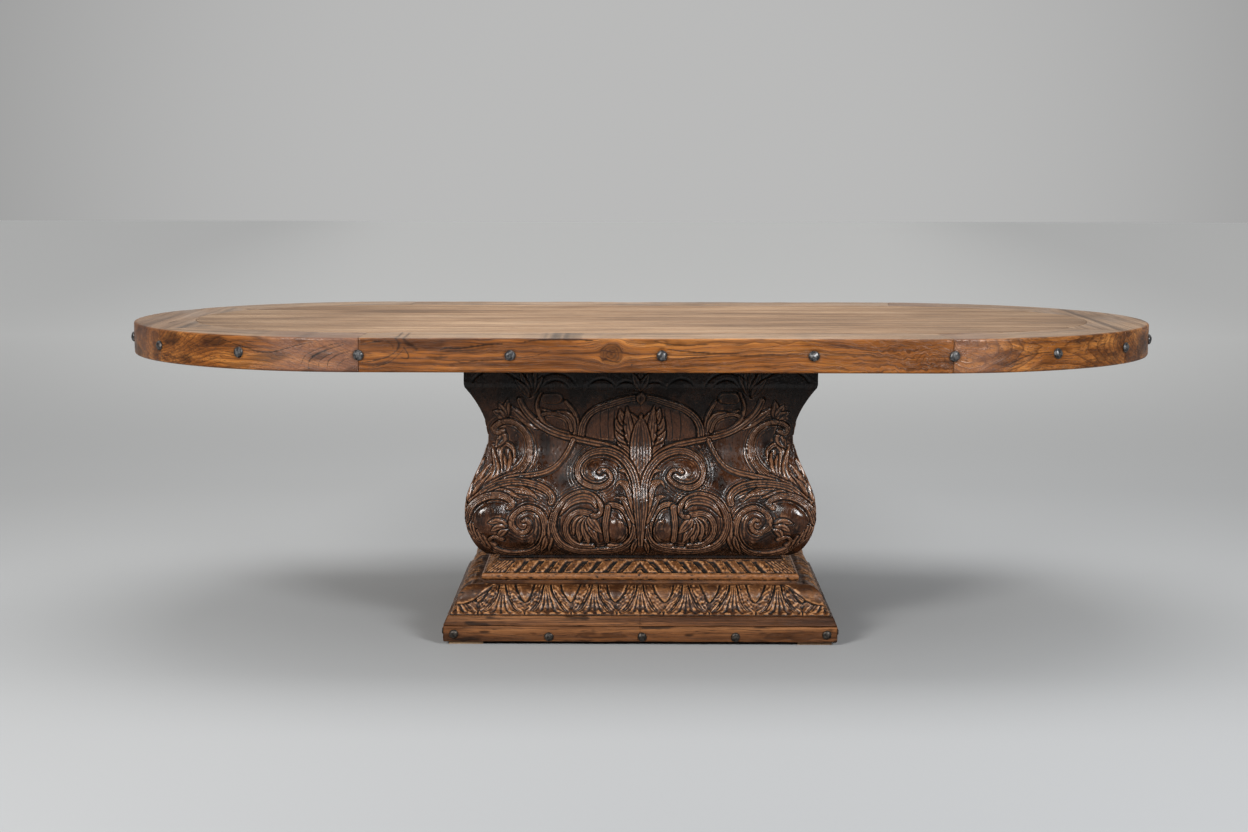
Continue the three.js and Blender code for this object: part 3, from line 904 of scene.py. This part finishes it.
def carve_scrolls(u, z, seed, swelling):
    """The pedestal's relief over one half of a panel: u is the distance from the middle, 0 to the corner.

    swelling scales the smooth domes and hollows under the scrolls.
    """
    slip_u = 0.0016 * ripple(u, z, 0.07, seed)
    slip_z = 0.0016 * ripple(u, z, 0.07, seed + 1)
    relief = Relief(u + slip_u, z + slip_z)
    belly_domes(relief, swelling)
    relief.start_cutting()
    carve_head(relief)
    carve_arch(relief)
    carve_corner_volute(relief)
    carve_side_scroll(relief)
    carve_corner_leaves(relief)
    carve_lower_scroll(relief)
    carve_stalk(relief)
    carve_volute(relief)
    tooled = 0.00012 * ripple(u, z, 0.006, seed + 2, waves=24)
    fade = smoothstep(0.190, 0.206, z) * smoothstep(0.690, 0.676, z)
    return (relief.field + tooled) * fade


def band(relief, points, width=(7, 7), lift=3.6, ridges=3, scoop=1.2, depth=3.1, **style):
    """A raised band of parallel ridges along a smooth curve through the points, all in mm."""
    relief.stroke(spline(points), width, lift=lift, ridges=ridges, scoop=scoop, depth=depth, **style)


def leaf(relief, points, width, lift=3.6, ridges=2, **style):
    """A raised leaf, pointed at both ends, along a smooth curve through the points, all in mm."""
    relief.stroke(spline(points), (width, width), lift=lift, ridges=ridges, taper="leaf", **style)


def fan(relief, root, tips, width, bend, **style):
    """A leaf from the root to each tip, with its middle pushed aside by bend, all in mm."""
    for tip in tips:
        middle = ((root[0] + tip[0]) / 2 + bend[0], (root[1] + tip[1]) / 2 + bend[1])
        leaf(relief, [root, middle, tip], width, **style)


def belly_domes(relief, swelling):
    """Each dome is its middle's u and z, its reach along u and z, its height, and how square it is."""
    domes = [(354, 296, 46, 46, 16, 3.0), (262, 268, 34, 46, 9, 3.0), (120, 412, 30, 32, 12, 2.6),
             (55, 268, 26, 34, 11, 3.0), (140, 285, 44, 44, 7, 2.0), (275, 358, 44, 14, 6, 2.0),
             (303, 468, 26, 44, -6, 2.0), (222, 456, 34, 34, -5, 2.0), (186, 396, 26, 30, -4, 2.0),
             (232, 346, 14, 18, -4, 2.0)]
    for u, z, reach_u, reach_z, height, power in domes:
        relief.dome(u, z, reach_u, reach_z, swelling * height, power)


def carve_stalk(relief):
    """The stalk up the middle: long feathered leaves which peel away from it on both sides."""
    leaf(relief, [(5, 250), (16, 232), (22, 206)], 7, lift=3)
    leaf(relief, [(10, 284), (24, 322), (42, 348), (62, 352)], 12, lift=4.5, ridges=4, depth=2.2)
    leaf(relief, [(8, 300), (16, 346), (30, 378), (50, 388), (60, 376)], 14, lift=6, ridges=5, depth=2.2)
    leaf(relief, [(8, 350), (16, 390), (30, 412), (52, 416)], 11, lift=5, ridges=3, depth=2.2)
    relief.stroke([(0, 545), (0, 480), (0, 400), (0, 330)], (26, 8), lift=5.5, ridges=7, taper="leaf")
    relief.groove([(0, 400), (0, 236)], depth=3.0)


def carve_volute(relief):
    """The upper volute, which springs from the stalk and winds round a polished bowl."""
    band(relief, [(4, 232), (5, 290), (8, 345), (12, 392), (28, 426), (54, 450), (88, 461), (120, 456),
                  (143, 436), (151, 411), (143, 388), (120, 375), (96, 376), (78, 388), (71, 402),
                  (79, 414), (92, 415), (99, 408)], (13, 5), echo=(26, 22), tilt=0.25, taper="tail")


def carve_lower_scroll(relief):
    """The big C-scroll round the egg and the fan of leaves."""
    leaf(relief, [(214, 312), (216, 270), (224, 214)], 8, lift=4)
    leaf(relief, [(228, 258), (232, 236), (244, 212)], 7, lift=4)
    fan(relief, (122, 308), [(158, 286), (160, 262), (146, 243), (124, 236), (102, 240), (92, 264)],
        11, (7, 6), lift=5.5, ridges=3)
    band(relief, [(122, 314), (146, 317), (167, 304), (178, 280), (173, 254), (152, 235), (118, 228)],
         (7, 8), lift=4, echo=(0, 16))
    band(relief, [(90, 326), (70, 334), (46, 326), (30, 304), (22, 276), (26, 248), (44, 233), (76, 230)],
         (7, 6), lift=3.5, echo=(14, 0))
    band(relief, [(80, 328), (84, 290), (80, 246)], (8, 7), lift=4)
    relief.groove(spline([(54, 301), (38, 292), (29, 268), (38, 246), (58, 238)]), depth=2.8)
    band(relief, [(9, 360), (10, 325), (12, 292), (19, 254), (38, 232), (68, 219), (104, 215), (144, 217),
                  (178, 228), (201, 250), (210, 282), (204, 312), (187, 339), (164, 355), (138, 361),
                  (113, 352), (98, 335), (96, 318), (104, 308), (114, 309)], (10, 6), ridges=3,
         echo=(18, 22), taper="tail")
    leaf(relief, [(108, 328), (118, 344), (142, 348), (170, 336), (194, 306)], 10, lift=5, ridges=3)


def carve_corner_volute(relief):
    """The volute low down beside the corner, on its own swelling."""
    band(relief, [(366, 234), (352, 216), (318, 206), (276, 211), (246, 230), (231, 258), (229, 284),
                  (237, 307), (254, 322), (276, 327), (296, 319), (307, 304), (307, 285), (296, 272),
                  (280, 267), (267, 274), (263, 287), (271, 297), (281, 295)], (9, 5), echo=(22, 16),
         tilt=0.2)
    for root, tip in (((318, 290), (356, 294)), ((320, 282), (350, 274)), ((318, 274), (338, 254))):
        fan(relief, root, [tip], 8, (0, 5), lift=3)
    band(relief, [(332, 248), (344, 257), (358, 252), (362, 240), (352, 230)], (5, 4), lift=3, ridges=2)
    for u, z in ((374, 262), (387, 274), (400, 288), (412, 300)):
        leaf(relief, [(u, z), (u - 1, z - 22), (u - 14, z - 46)], 8, lift=2.5)


def carve_side_scroll(relief):
    """The tall C-scroll beside the waist, with its curled tip and the fingered leaf inside it."""
    fingers = (
        ((413, 344), (404, 382), (392, 414), (378, 444)),
        ((409, 350), (393, 386), (376, 412), (361, 432)),
        ((404, 354), (388, 378), (371, 394), (357, 416)),
        ((340, 388), (324, 416), (318, 440), (322, 460)),
        ((346, 388), (334, 414), (330, 434), (335, 456)),
        ((415, 336), (410, 374), (402, 404), (394, 424)),
    )
    for finger in fingers:
        leaf(relief, finger, 6, lift=5.0, depth=3.2, ridges=1)
    leaf(relief, [(352, 390), (339, 414), (342, 444), (342, 462), (329, 475), (314, 464), (309, 446),
                  (312, 430)], 7, lift=5.5, depth=3.2, ridges=2)
    leaf(relief, [(398, 358), (376, 373), (356, 395), (348, 416), (350, 436), (356, 458), (361, 476)], 9,
         lift=6.5, depth=3.2, ridges=2)
    leaf(relief, [(352, 470), (344, 480), (338, 494), (352, 502)], 12, lift=3, ridges=2)
    band(relief, [(404, 336), (372, 370), (336, 391), (300, 409), (278, 436), (270, 464), (274, 492),
                  (290, 515), (315, 530), (340, 528), (356, 516), (350, 503), (338, 507)], (11, 6),
         ridges=4, echo=(18, 20), tilt=0.3)


def carve_corner_leaves(relief):
    """The vine, the hooked leaf and the leaf over the swelling, which all grow out of the corner."""
    band(relief, [(166, 486), (178, 460), (192, 440), (212, 423), (240, 410), (275, 402), (310, 396),
                  (346, 382), (400, 344)], (6, 8), lift=4.5, ridges=2)
    leaf(relief, [(404, 344), (350, 368), (304, 370), (264, 360), (246, 342)], 13, lift=4, ridges=4)
    leaf(relief, [(404, 338), (356, 360), (318, 362), (286, 348)], 10, lift=4, ridges=3)
    band(relief, [(406, 340), (362, 374), (320, 386), (284, 386), (250, 379), (226, 366), (215, 350),
                  (218, 338)], (9, 9), ridges=3, echo=(24, 12))
    band(relief, [(420, 296), (406, 328), (380, 349), (348, 357), (322, 352), (309, 339), (316, 328)],
         (11, 7), ridges=4, echo=(14, 10))


def carve_arch(relief):
    """The arch under the head with its flower, the main vine below it and the pods beside it."""
    band(relief, [(158, 498), (156, 524), (162, 552), (182, 584)], (6, 4), lift=4, ridges=2)
    leaf(relief, [(164, 500), (168, 530), (186, 548), (214, 550), (236, 562)], 10, lift=4, ridges=3)
    band(relief, [(170, 508), (178, 534), (202, 548), (228, 550), (246, 538), (240, 516)], (5, 5), lift=3,
         ridges=2, echo=(0, 14))
    relief.stroke([(203, 592), (226, 592)], (15, 15), lift=3, ridges=1)
    band(relief, [(241, 606), (250, 572), (241, 535), (217, 512), (180, 500)], (4, 4), lift=2.5, ridges=1)
    leaf(relief, [(250, 514), (272, 532), (296, 552), (312, 568)], 11, lift=5, ridges=2)
    fan(relief, (330, 538), [(322, 586), (344, 576), (358, 556)], 11, (-1, 3), lift=3)
    band(relief, [(148, 494), (142, 520), (126, 546), (102, 565), (70, 579), (30, 590), (0, 592)], (9, 8),
         ridges=3)
    for u in (62, 76, 96):
        relief.groove([(u, 482), (u + 1, 520), (u - 1, 560)], depth=2.0)
    lobes = (((14, 450), (30, 466), (44, 474), (55, 491)), ((18, 472), (34, 486), (48, 494), (59, 515)),
             ((22, 494), (36, 508), (49, 519), (58, 540)), ((24, 518), (36, 534), (44, 546), (49, 564)))
    for lobe in lobes:
        leaf(relief, lobe, 13, lift=6, ridges=3)
    leaf(relief, [(8, 448), (21, 488), (29, 528), (34, 570)], 15, lift=7, ridges=4)
    for u, z in ((34, 482), (40, 504), (41, 528)):
        relief.groove([(u - 3, z - 2), (u + 3, z + 5)], depth=4.0, width=3.0)
    leaf(relief, [(1, 490), (7, 520), (15, 540), (24, 554)], 10, lift=7, ridges=2)
    leaf(relief, [(0, 604), (0, 590), (0, 574)], 12, lift=6, ridges=1)
    band(relief, [(292, 586), (280, 560), (261, 536), (240, 518), (214, 503), (184, 493), (150, 487),
                  (110, 479), (74, 470), (46, 456), (27, 434), (16, 404)], (7, 8), ridges=2)


def carve_head(relief):
    """Low shells and leaves over the flared head."""
    shells = ((350, 60, 1.0), (206, 52, 1.0), (206, 52, 0.62), (96, 34, 1.0), (34, 26, 1.0))
    for centre, reach, share in shells:
        arch = [(centre + share * reach * math.cos(a), 612 + 0.85 * share * reach * math.sin(a))
                for a in np.linspace(0.45, math.pi - 0.30, 9)]
        relief.groove(spline(arch), depth=1.8, width=2.2)
    fan(relief, (268, 596), [(236, 650), (252, 668), (270, 676), (290, 662), (302, 642)], 10, (0, 3),
        lift=2.2, depth=1.6)
    fan(relief, (0, 612), [(-16, 656), (0, 668), (20, 656)], 10, (0, 3), lift=2.2, depth=1.6)


# ---- Mitred pieces swept round the pedestal

def walk(profile, spacing):
    """Resamples a profile of (half width, z) evenly, and gives its outward normals."""
    step = np.hypot(*np.diff(profile, axis=0).T)
    length = np.concatenate([[0], np.cumsum(step)])
    count = int(length[-1] / spacing) + 1
    even = np.linspace(0, length[-1], count)
    width = np.interp(even, length, profile[:, 0])
    height = np.interp(even, length, profile[:, 1])
    slope = np.gradient(np.stack([width, height], 1), axis=0)
    slope = np.stack([np.convolve(np.pad(s, 2, mode="edge"), np.ones(5) / 5, "valid") for s in slope.T], 1)
    slope /= np.linalg.norm(slope, axis=1, keepdims=True)
    return width, height, slope[:, 1], -slope[:, 0]


SIDES = {"front": (0, 0.0), "right": (90, PLAN_OFFSET), "back": (180, 0.0), "left": (270, PLAN_OFFSET)}


def turned(side, u, out, z):
    """Places points given as (along the side, out from the middle, z) on one of the four sides."""
    angle = math.radians(SIDES[side][0])
    x = u * math.cos(angle) + out * math.sin(angle)
    y = u * math.sin(angle) - out * math.cos(angle)
    return np.stack([x, y, z], -1)


# What the halves of a mitred frame share. The relief that carve gives pushes the profile outwards, so
# both sides of a mitre keep meeting in the mitre's plane. marks gives the darker places, stains and painted
# shade, and the paler ones. A squeezed piece fits the front's carving into the narrower sides, and its
# grain runs upwards.
Section = namedtuple("Section", "profile inner carve marks material slot spacing squeezed",
                     defaults=(FINE, False))


def carving_depth(relief, spacing):
    """How far a place stands out of what is round it: 0 deep in a cut, 1 on a crest."""
    cuts = relief - blur(relief, max(1, int(0.0040 / spacing)))
    hollows = relief - blur(relief, max(1, int(0.014 / spacing)))
    # The carved wood paints this depth: dark in cuts and low ground, for old wax and as painted shade, and
    # pale on crests and domes, for rubbing and as painted highlight.
    return np.clip(0.55 + cuts / 0.0024 + hollows / 0.0500, 0, 1)


def back_faces(grid, flip):
    """A rough back, and caps from it to the skin: the back's four corners follow the skin's vertices."""
    bottom_middle, bottom_end, top_middle, top_end = range(grid.size, grid.size + 4)
    faces = [
        [bottom_middle, bottom_end, *grid[0, ::-1]],
        [top_end, top_middle, *grid[-1, :]],
        [top_middle, bottom_middle, *grid[:, 0]],
        [bottom_end, top_end, *grid[::-1, -1]],
        [bottom_end, bottom_middle, top_middle, top_end],
    ]
    return [[int(corner) for corner in (face[::-1] if flip else face)] for face in faces]


def swept_half(name, side, hand, section, node, seed):
    """One half of one side of a mitred frame, from the middle to the corner, as a closed mesh.

    hand is 1 for the half towards the side's own right, -1 for the other.
    """
    width, height, out_w, out_z = walk(section.profile, section.spacing)
    shift = SIDES[side][1]
    share = np.linspace(0, 1, int((width.max() - shift) / section.spacing) + 1)
    u = share * (width[:, None] - (0.0 if section.squeezed else shift))
    level = np.broadcast_to(height[:, None], u.shape)
    relief = section.carve(u, level, seed)
    pushed = width[:, None] + relief * out_w[:, None]
    across = share * (pushed - shift)
    out = pushed - (PLAN_OFFSET - shift)
    z = level + relief * out_z[:, None]
    back = []
    for row in (0, -1):
        for reach in (0.0, section.inner - shift):
            back.append(turned(side, hand * reach, section.inner - (PLAN_OFFSET - shift), z[row, 0]))
    vertices = np.vstack([turned(side, hand * across, out, z).reshape(-1, 3), back])
    faces = grid_faces(*u.shape, flip=hand < 0) + back_faces(np.arange(u.size).reshape(u.shape), hand < 0)
    rng = np.random.default_rng(900 + seed)
    offset = np.array([rng.uniform(-3, 3), rng.uniform(-0.03, 0.03), rng.uniform(0.05, 0.09)])
    if section.squeezed:
        grain = np.stack([z, across, out], -1)
    else:
        grain = np.stack([across * hand, z, out - section.inner], -1)
    grain = np.vstack([grain.reshape(-1, 3) + offset, np.tile(offset, (4, 1))])
    depth = np.append(carving_depth(relief, section.spacing), np.full(4, 0.5))
    stain, worn = (np.append(mark, np.zeros(4)) for mark in section.marks(u * hand, level, seed))
    piece = make_piece(name, vertices, faces, section.material, section.slot, [node], grain=grain,
                       depth=depth, stain=stain, worn=worn)
    for polygon in piece.data.polygons:
        polygon.use_smooth = len(polygon.vertices) == 4


def panel_profile():
    """The CAD panel's outline: three curves over the belly and the neck, and the upright head."""
    mm = [
        bezier((345, 197), (396, 199), (423, 255), (422, 318), 40),
        bezier((422, 318), (424, 375), (374, 428), (370, 482), 40)[1:],
        bezier((370, 482), (368, 510), (378, 560), (423, 620), 40)[1:],
        np.array([(425, 628), (425, 1000 * PANEL_HIGH.z)]),
    ]
    return np.vstack([[(345, 1000 * PANEL_LOW.z)], *mm]) / 1000


def ogee_profile():
    """The leaf and dart moulding's outline: an ogee with a fillet on top."""
    mm = [
        bezier((464, 70.2), (451, 75), (441, 84), (440, 96), 20),
        bezier((440, 96), (439, 118), (427, 132), (400, 134), 20)[1:],
        np.array([(384, 134.5), (383.5, 141)]),
    ]
    return np.vstack(mm) / 1000


def gadroon_profile():
    """The gadroon moulding's outline: a bead, a sloping face and a small fillet."""
    mm = [
        np.array([(380, 141.5)]),
        bezier((382, 141.6), (390, 142), (390, 157), (382, 159), 14),
        np.array([(380.5, 159.6), (351, 183), (350.5, 184), (349, 188)]),
    ]
    return np.vstack(mm) / 1000


GLUED_PANEL = 1  # the front's left half has an old glued joint in it


def carve_panel(u, z, seed):
    relief = carve_scrolls(u, z, 500 + seed, 1.0)
    if seed == GLUED_PANEL:
        from_seam = u - 0.254 - 0.004 * (z - 0.3)
        relief -= 0.0016 * np.exp(-((from_seam / 0.0013) ** 2)) * smoothstep(0.48, 0.46, z)
    return relief


def carve_side_panel(u, z, seed):
    """The narrower sides have lower swellings."""
    return carve_scrolls(u, z, 500 + seed, 0.35)


def panel_marks(u, z, seed):
    """Painted shade under the table top, and the paler ground inside the arch."""
    # Painted shade: the neck darkens under the overhanging table top.
    shade_under_top = 0.66 * smoothstep(0.560, 0.630, z)
    inside = 1 - np.hypot(u / 0.140, (z - 0.478) / 0.100)
    return shade_under_top, 0.85 * smoothstep(0.0, 0.10, inside) * smoothstep(0.482, 0.490, z)


def bead_marks(u, z, seed):
    """The bead under the gadroons is rubbed paler."""
    return np.zeros(u.shape), smoothstep(0.1615, 0.1590, z)


def no_marks(u, z, seed):
    return np.zeros(u.shape), np.zeros(u.shape)


def long_scars(u, z, seed):
    """Dark streaks along the grain where the plinth has been knocked."""
    streaks = ripple(u * 0.10, z, 0.010, 40 + seed) + 0.4 * ripple(u, z, 0.020, 50 + seed)
    return 0.75 * smoothstep(0.75, 1.25, streaks), np.zeros(u.shape)


def carve_gadroons(u, z, seed):
    """Slanting lozenges on the sloping face, over a plain bead."""
    pitch, lean = 0.0362, 0.023
    low, high = 0.1605, 0.1825
    rise = np.clip((z - low) / (high - low), 0, 1)
    phase = (u + lean * (rise - 1)) / pitch + 0.05 * ripple(u, z, 0.03, seed) + 0.25
    to_gap = 0.5 - np.abs(phase - np.floor(phase) - 0.5)
    gap = smoothstep(0.25, 0.14, to_gap)
    on_face = smoothstep(low - 0.001, low + 0.001, z) * smoothstep(high + 0.0015, high - 0.0005, z)
    pits = ripple(u, z, 0.0045, seed + 3, waves=40)
    relief = on_face * (-0.0044 * gap + (0.0012 * np.sqrt(to_gap * 2) + 0.0005 * pits) * (1 - gap))
    edge_groove = np.exp(-((np.abs(to_gap - 0.27) / 0.030) ** 2))
    relief -= 0.0005 * edge_groove * on_face
    lines = np.exp(-(((z - 0.1598) / 0.0009) ** 2)) + 0.7 * np.exp(-(((z - 0.1845) / 0.0008) ** 2))
    relief -= 0.0016 * lines
    corner = u.max(axis=1, keepdims=True) - u
    leaf_end = smoothstep(0.046, 0.036, corner) * on_face
    slant = (corner - 0.35 * (z - low)) / 0.0085
    flutes = 0.5 + 0.5 * np.cos(2 * math.pi * slant + ripple(u, z, 0.02, seed + 4))
    relief = relief * (1 - leaf_end) + leaf_end * (0.0010 - 0.0022 * flutes**2 + 0.0004 * pits)
    return relief + 0.00035 * ripple(u, z, 0.007, seed + 5, waves=24)


def wrap_corner(relief, corner, rise):
    """A smooth lobe round the corner: a quarter of an ellipse, seen from the front."""
    reach = 0.058 * np.sqrt(np.clip(1 - (np.clip(1.0 - rise, 0, 1) / 0.66) ** 2, 0, 1))
    beyond = corner - reach
    lobe = smoothstep(0.0010, -0.0010, beyond) * (reach > 0)
    ring = np.exp(-((beyond / 0.0020) ** 2)) + 0.6 * np.exp(-(((beyond - 0.007) / 0.0014) ** 2))
    swelling = 0.0030 + 0.0018 * np.sqrt(np.clip(-beyond / 0.03, 0, 1))
    return relief * (1 - lobe) + lobe * swelling - 0.0034 * ring * (reach > 0)


def carve_leaf_and_dart(u, z, seed):
    """Darts that open downwards, with a stippled leaf and a smooth point between each pair of them."""
    pitch = 0.112
    low, high = 0.0715, 0.1335
    rise = np.clip((z - low) / (high - low), 0, 1)
    slip = 0.0025 * ripple(u, z, 0.05, seed)
    place = np.abs(((u + slip) / pitch) % 1 - 0.5) * 2  # 1 at a dart's middle, 0 at a leaf's
    on_face = smoothstep(low, low + 0.002, z) * smoothstep(high + 0.001, high - 0.001, z)
    edge = 0.86 * np.clip((rise - 0.07) / 0.93, 0, 1) ** 0.34
    inner = 0.40 * np.clip((rise - 0.42) / 0.58, 0, 1) ** 0.62
    half_pitch = pitch / 2
    to_edge = (place - edge) * half_pitch
    to_inner = (place - inner) * half_pitch
    in_leaf = smoothstep(0.0008, -0.0008, to_edge)
    in_point = smoothstep(0.0008, -0.0008, to_inner)
    # The leaf's small nicks lie across its edge, with rounder pits between them.
    slant = (z - 0.9 * place * half_pitch) / 0.0090
    nicks = np.cos(2 * math.pi * slant + 1.6 * ripple(u, z, 0.014, seed + 2))
    stipple = 0.55 * nicks + 0.75 * ripple(u, z, 0.0050, seed + 3, waves=40)
    spread = np.clip((1 - place) / np.maximum(1 - edge, 0.05), 0, 1)
    flutes = (0.5 + 0.5 * np.cos(2 * math.pi * 2.5 * spread)) ** 1.6
    dart = 0.0020 - 0.0021 * flutes + 0.0003 * stipple
    from_rib = np.abs(place - (edge + inner) / 2) * half_pitch
    leaf_face = -0.0006 + 0.0024 * np.clip(1 - (from_rib / 0.012) ** 2, 0, 1) + 0.0008 * stipple
    point = 0.0012 + 0.0022 * np.clip(-to_inner / 0.010, 0, 1)
    relief = dart * (1 - in_leaf) + in_leaf * (leaf_face * (1 - in_point) + point * in_point)
    relief -= 0.0040 * np.exp(-((to_edge / 0.0019) ** 2))
    relief -= 0.0022 * np.exp(-(((to_edge + 0.0065) / 0.0012) ** 2)) * in_leaf * (1 - in_point)
    relief -= 0.0030 * np.exp(-((to_inner / 0.0016) ** 2)) * (inner > 0)
    relief = wrap_corner(relief, u.max(axis=1, keepdims=True) - u, rise) * on_face
    relief -= 0.0016 * np.exp(-(((z - 0.0712) / 0.0008) ** 2))
    return relief + 0.0003 * ripple(u, z, 0.008, seed + 9, waves=24) * on_face


HALVES = ((-1, "left"), (1, "right"))


def make_pedestal():
    gadroons = Section(gadroon_profile(), PLAN_OFFSET - GADROON_HIGH.y, carve_gadroons, bead_marks,
                       MOULDING_WOOD, "moulding_wood")
    ogee = Section(ogee_profile(), PLAN_OFFSET - OGEE_HIGH.y, carve_leaf_and_dart, no_marks,
                   MOULDING_WOOD, "moulding_wood")
    for index, side in enumerate(SIDES):
        carve = carve_panel if side in ("front", "back") else carve_side_panel
        panel = Section(panel_profile(), PANEL_INNER, carve, panel_marks, CARVED_WOOD, "carved_walnut",
                        squeezed=True)
        for half_index, (hand, half) in enumerate(HALVES):
            parts = (("carved_panel", panel, 1 + 2 * index + half_index),
                     ("gadroon_moulding", gadroons, 11 + index),
                     ("ogee_moulding", ogee, 21 + index))
            for stem, section, seed in parts:
                swept_half(f"{stem}_{side}_{half}", side, hand, section, f"{stem}_{side}", seed)


PLINTH_HALF_WIDTH = FASCIA_HIGH.x - 0.0006  # leaves room for the planed faces' waves


def no_carving(u, z, seed):
    """A plain hand-planed face."""
    return 0.0004 * ripple(u, z, 0.05, seed) + 0.0002 * ripple(u, z * 3, 0.02, seed + 1)


def fascia_profile():
    low, top, outer = FASCIA_LOW.z, FASCIA_HIGH.z, PLINTH_HALF_WIDTH
    ease = 0.0018
    return np.array([(outer - 0.006, low), (outer - ease, low), (outer, low + ease),
                     (outer, top - 0.0008), (outer - 0.0010, top), (outer - 0.006, top)])


def chamfer_profile():
    low, top, outer = FASCIA_HIGH.z + GAP, BOARD_HIGH.z, PLINTH_HALF_WIDTH
    return np.array([(outer - 0.010, low), (outer - 0.0012, low), (outer, low + 0.0012),
                     (0.4652, top - 0.001), (0.4640, top)])


def make_plinth():
    """The fascia boards and the chamfered board above them, in the same mitred way."""
    plain = {"carve": no_carving, "marks": long_scars, "material": PLINTH_WOOD, "slot": "moulding_wood"}
    fascia = Section(fascia_profile(), inner=0.4655, spacing=0.003, **plain)
    chamfer = Section(chamfer_profile(), inner=0.440, spacing=0.003, **plain)
    for index, side in enumerate(SIDES):
        for hand, half in HALVES:
            node = f"plinth_fascia_{side}"
            swept_half(f"{node}_{half}", side, hand, fascia, node, 61 + index)
            swept_half(f"base_chamfer_{side}_{half}", side, hand, chamfer, "base_board", 81 + index)


def dress_hidden_boards():
    for name in ("cap_board", "deck_board", "batten_left", "batten_right", "foot_front_left",
                 "foot_front_right", "foot_back_left", "foot_back_right"):
        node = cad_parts[name]
        node.data.materials.clear()
        node.data.materials.append(SOFTWOOD)


# ---- The studio

# The floor's colours hold painted light: darker near the front, where the softboxes light it most, and
# paler towards the back, where they reach less.
FLOOR_FRONT = (0.264, 0.269, 0.275)
FLOOR_BACK = (0.800, 0.805, 0.800)
FLOOR_FAR = (0.950, 0.955, 0.945)  # a long way behind the table
BACKDROP_MIDDLE = 0.435
BACKDROP_SIDE = 0.295
BACKDROP_ZENITH = 0.35  # share of the horizon's brightness


def make_floor():
    """A pale floor without an edge, painted lighter towards the back and lightest far behind the table:
    painted light.
    """
    floor_mesh = bpy.data.meshes.new("studio_floor")
    reach = 36.0
    corners = [(-reach, -reach, 0), (reach, -reach, 0), (reach, reach, 0), (-reach, reach, 0)]
    floor_mesh.from_pydata(corners, [], [(0, 1, 2, 3)])
    material, tree, surface = new_material("studio_paper")
    place = add_node(tree, "ShaderNodeTexCoord").outputs["Object"]
    axes = add_node(tree, "ShaderNodeSeparateXYZ", {"Vector": place}).outputs
    # Painted light: the colour rises from front to back, with a painted pool of light far behind the
    # table's middle.
    colour = mix_colour(tree, remap(tree, axes["Y"], -2.0, 8.5, smooth=False), FLOOR_FRONT, FLOOR_BACK)
    spread = math_node(tree, "MULTIPLY", axes["Y"], 0.10)
    aside = math_node(tree, "SUBTRACT", math_node(tree, "ABSOLUTE", axes["X"]), spread)
    aside = remap(tree, aside, 0.8, 4.0, 1.0, 0.0)
    far = math_node(tree, "MULTIPLY", remap(tree, axes["Y"], 2.6, 9.0), aside)
    colour = mix_colour(tree, far, colour, FLOOR_FAR)
    tree.links.new(colour, surface.inputs["Base Color"])
    surface.inputs["Roughness"].default_value = 0.9
    surface.inputs["Specular IOR Level"].default_value = 0.1
    floor_mesh.materials.append(material)
    floor = bpy.data.objects.new("studio_floor", floor_mesh)
    bpy.context.scene.collection.objects.link(floor)


def make_backdrop():
    """A studio's air: brightest behind the table, and darker to the sides and overhead."""
    world = bpy.data.worlds.new("studio_air")
    world.use_nodes = True
    tree = world.node_tree
    direction = add_node(tree, "ShaderNodeTexCoord").outputs["Generated"]
    axes = add_node(tree, "ShaderNodeSeparateXYZ", {"Vector": direction}).outputs
    glow = remap(tree, axes["Y"], 0.93, 1.0, BACKDROP_SIDE, BACKDROP_MIDDLE)
    height = remap(tree, axes["Z"], 0.25, 0.90, 1.0, BACKDROP_ZENITH)
    strength = math_node(tree, "MULTIPLY", glow, height)
    background = tree.nodes["Background"]
    background.inputs["Color"].default_value = (1.0, 1.0, 0.995, 1)
    tree.links.new(strength, background.inputs["Strength"])
    bpy.context.scene.world = world
    bpy.context.scene.view_settings.view_transform = "Standard"
    bpy.context.scene.view_settings.look = "Medium High Contrast"


def add_softbox(name, place, aim, size, power, tint=(1.0, 1.0, 1.0)):
    light = bpy.data.lights.new(name, "AREA")
    light.shape = "RECTANGLE"
    light.size, light.size_y = size
    light.energy = power
    light.color = tint
    lamp = bpy.data.objects.new(name, light)
    lamp.location = place
    lamp.rotation_euler = (Vector(aim) - Vector(place)).to_track_quat("-Z", "Y").to_euler()
    bpy.context.scene.collection.objects.link(lamp)


def make_lights():
    """Two softboxes in front, left and right, one overhead, and a very soft ceiling."""
    ceiling = bpy.data.lights.new("ceiling", "SUN")
    ceiling.angle = math.radians(120)
    ceiling.energy = 0.9
    bpy.context.scene.collection.objects.link(bpy.data.objects.new("ceiling", ceiling))
    add_softbox("overhead", (0, 0.3, 3.2), (0, 0, 0.5), (3.4, 1.6), 56)
    add_softbox("front_left", (-2.4, -3.5, 2.15), (0, 0, 0.45), (1.2, 1.3), 150, (1.0, 0.985, 0.96))
    add_softbox("front_right", (2.4, -3.5, 2.15), (0, 0, 0.45), (1.2, 1.3), 135, (0.97, 0.985, 1.0))


def make_camera():
    """A moderate telephoto a little above the top, aimed slightly down."""
    data = bpy.data.cameras.new("camera")
    data.sensor_width = 36.0
    data.lens = 58.69
    camera = bpy.data.objects.new("camera", data)
    camera.location = (-0.0124, -5.153, 1.1533)
    aim = Euler((math.radians(90 - 7.068), 0, math.radians(0.327))).to_matrix()
    roll = Matrix.Rotation(math.radians(0.104), 3, "Z")
    camera.rotation_euler = (aim @ roll).to_euler()
    bpy.context.scene.collection.objects.link(camera)
    bpy.context.scene.camera = camera


make_floor()
make_backdrop()
make_lights()
make_camera()
NAILS = nail_places()
make_rim(NAILS)
make_planks()
make_rim_nails(NAILS)
make_plinth_nails()
make_pedestal()
make_plinth()
dress_hidden_boards()
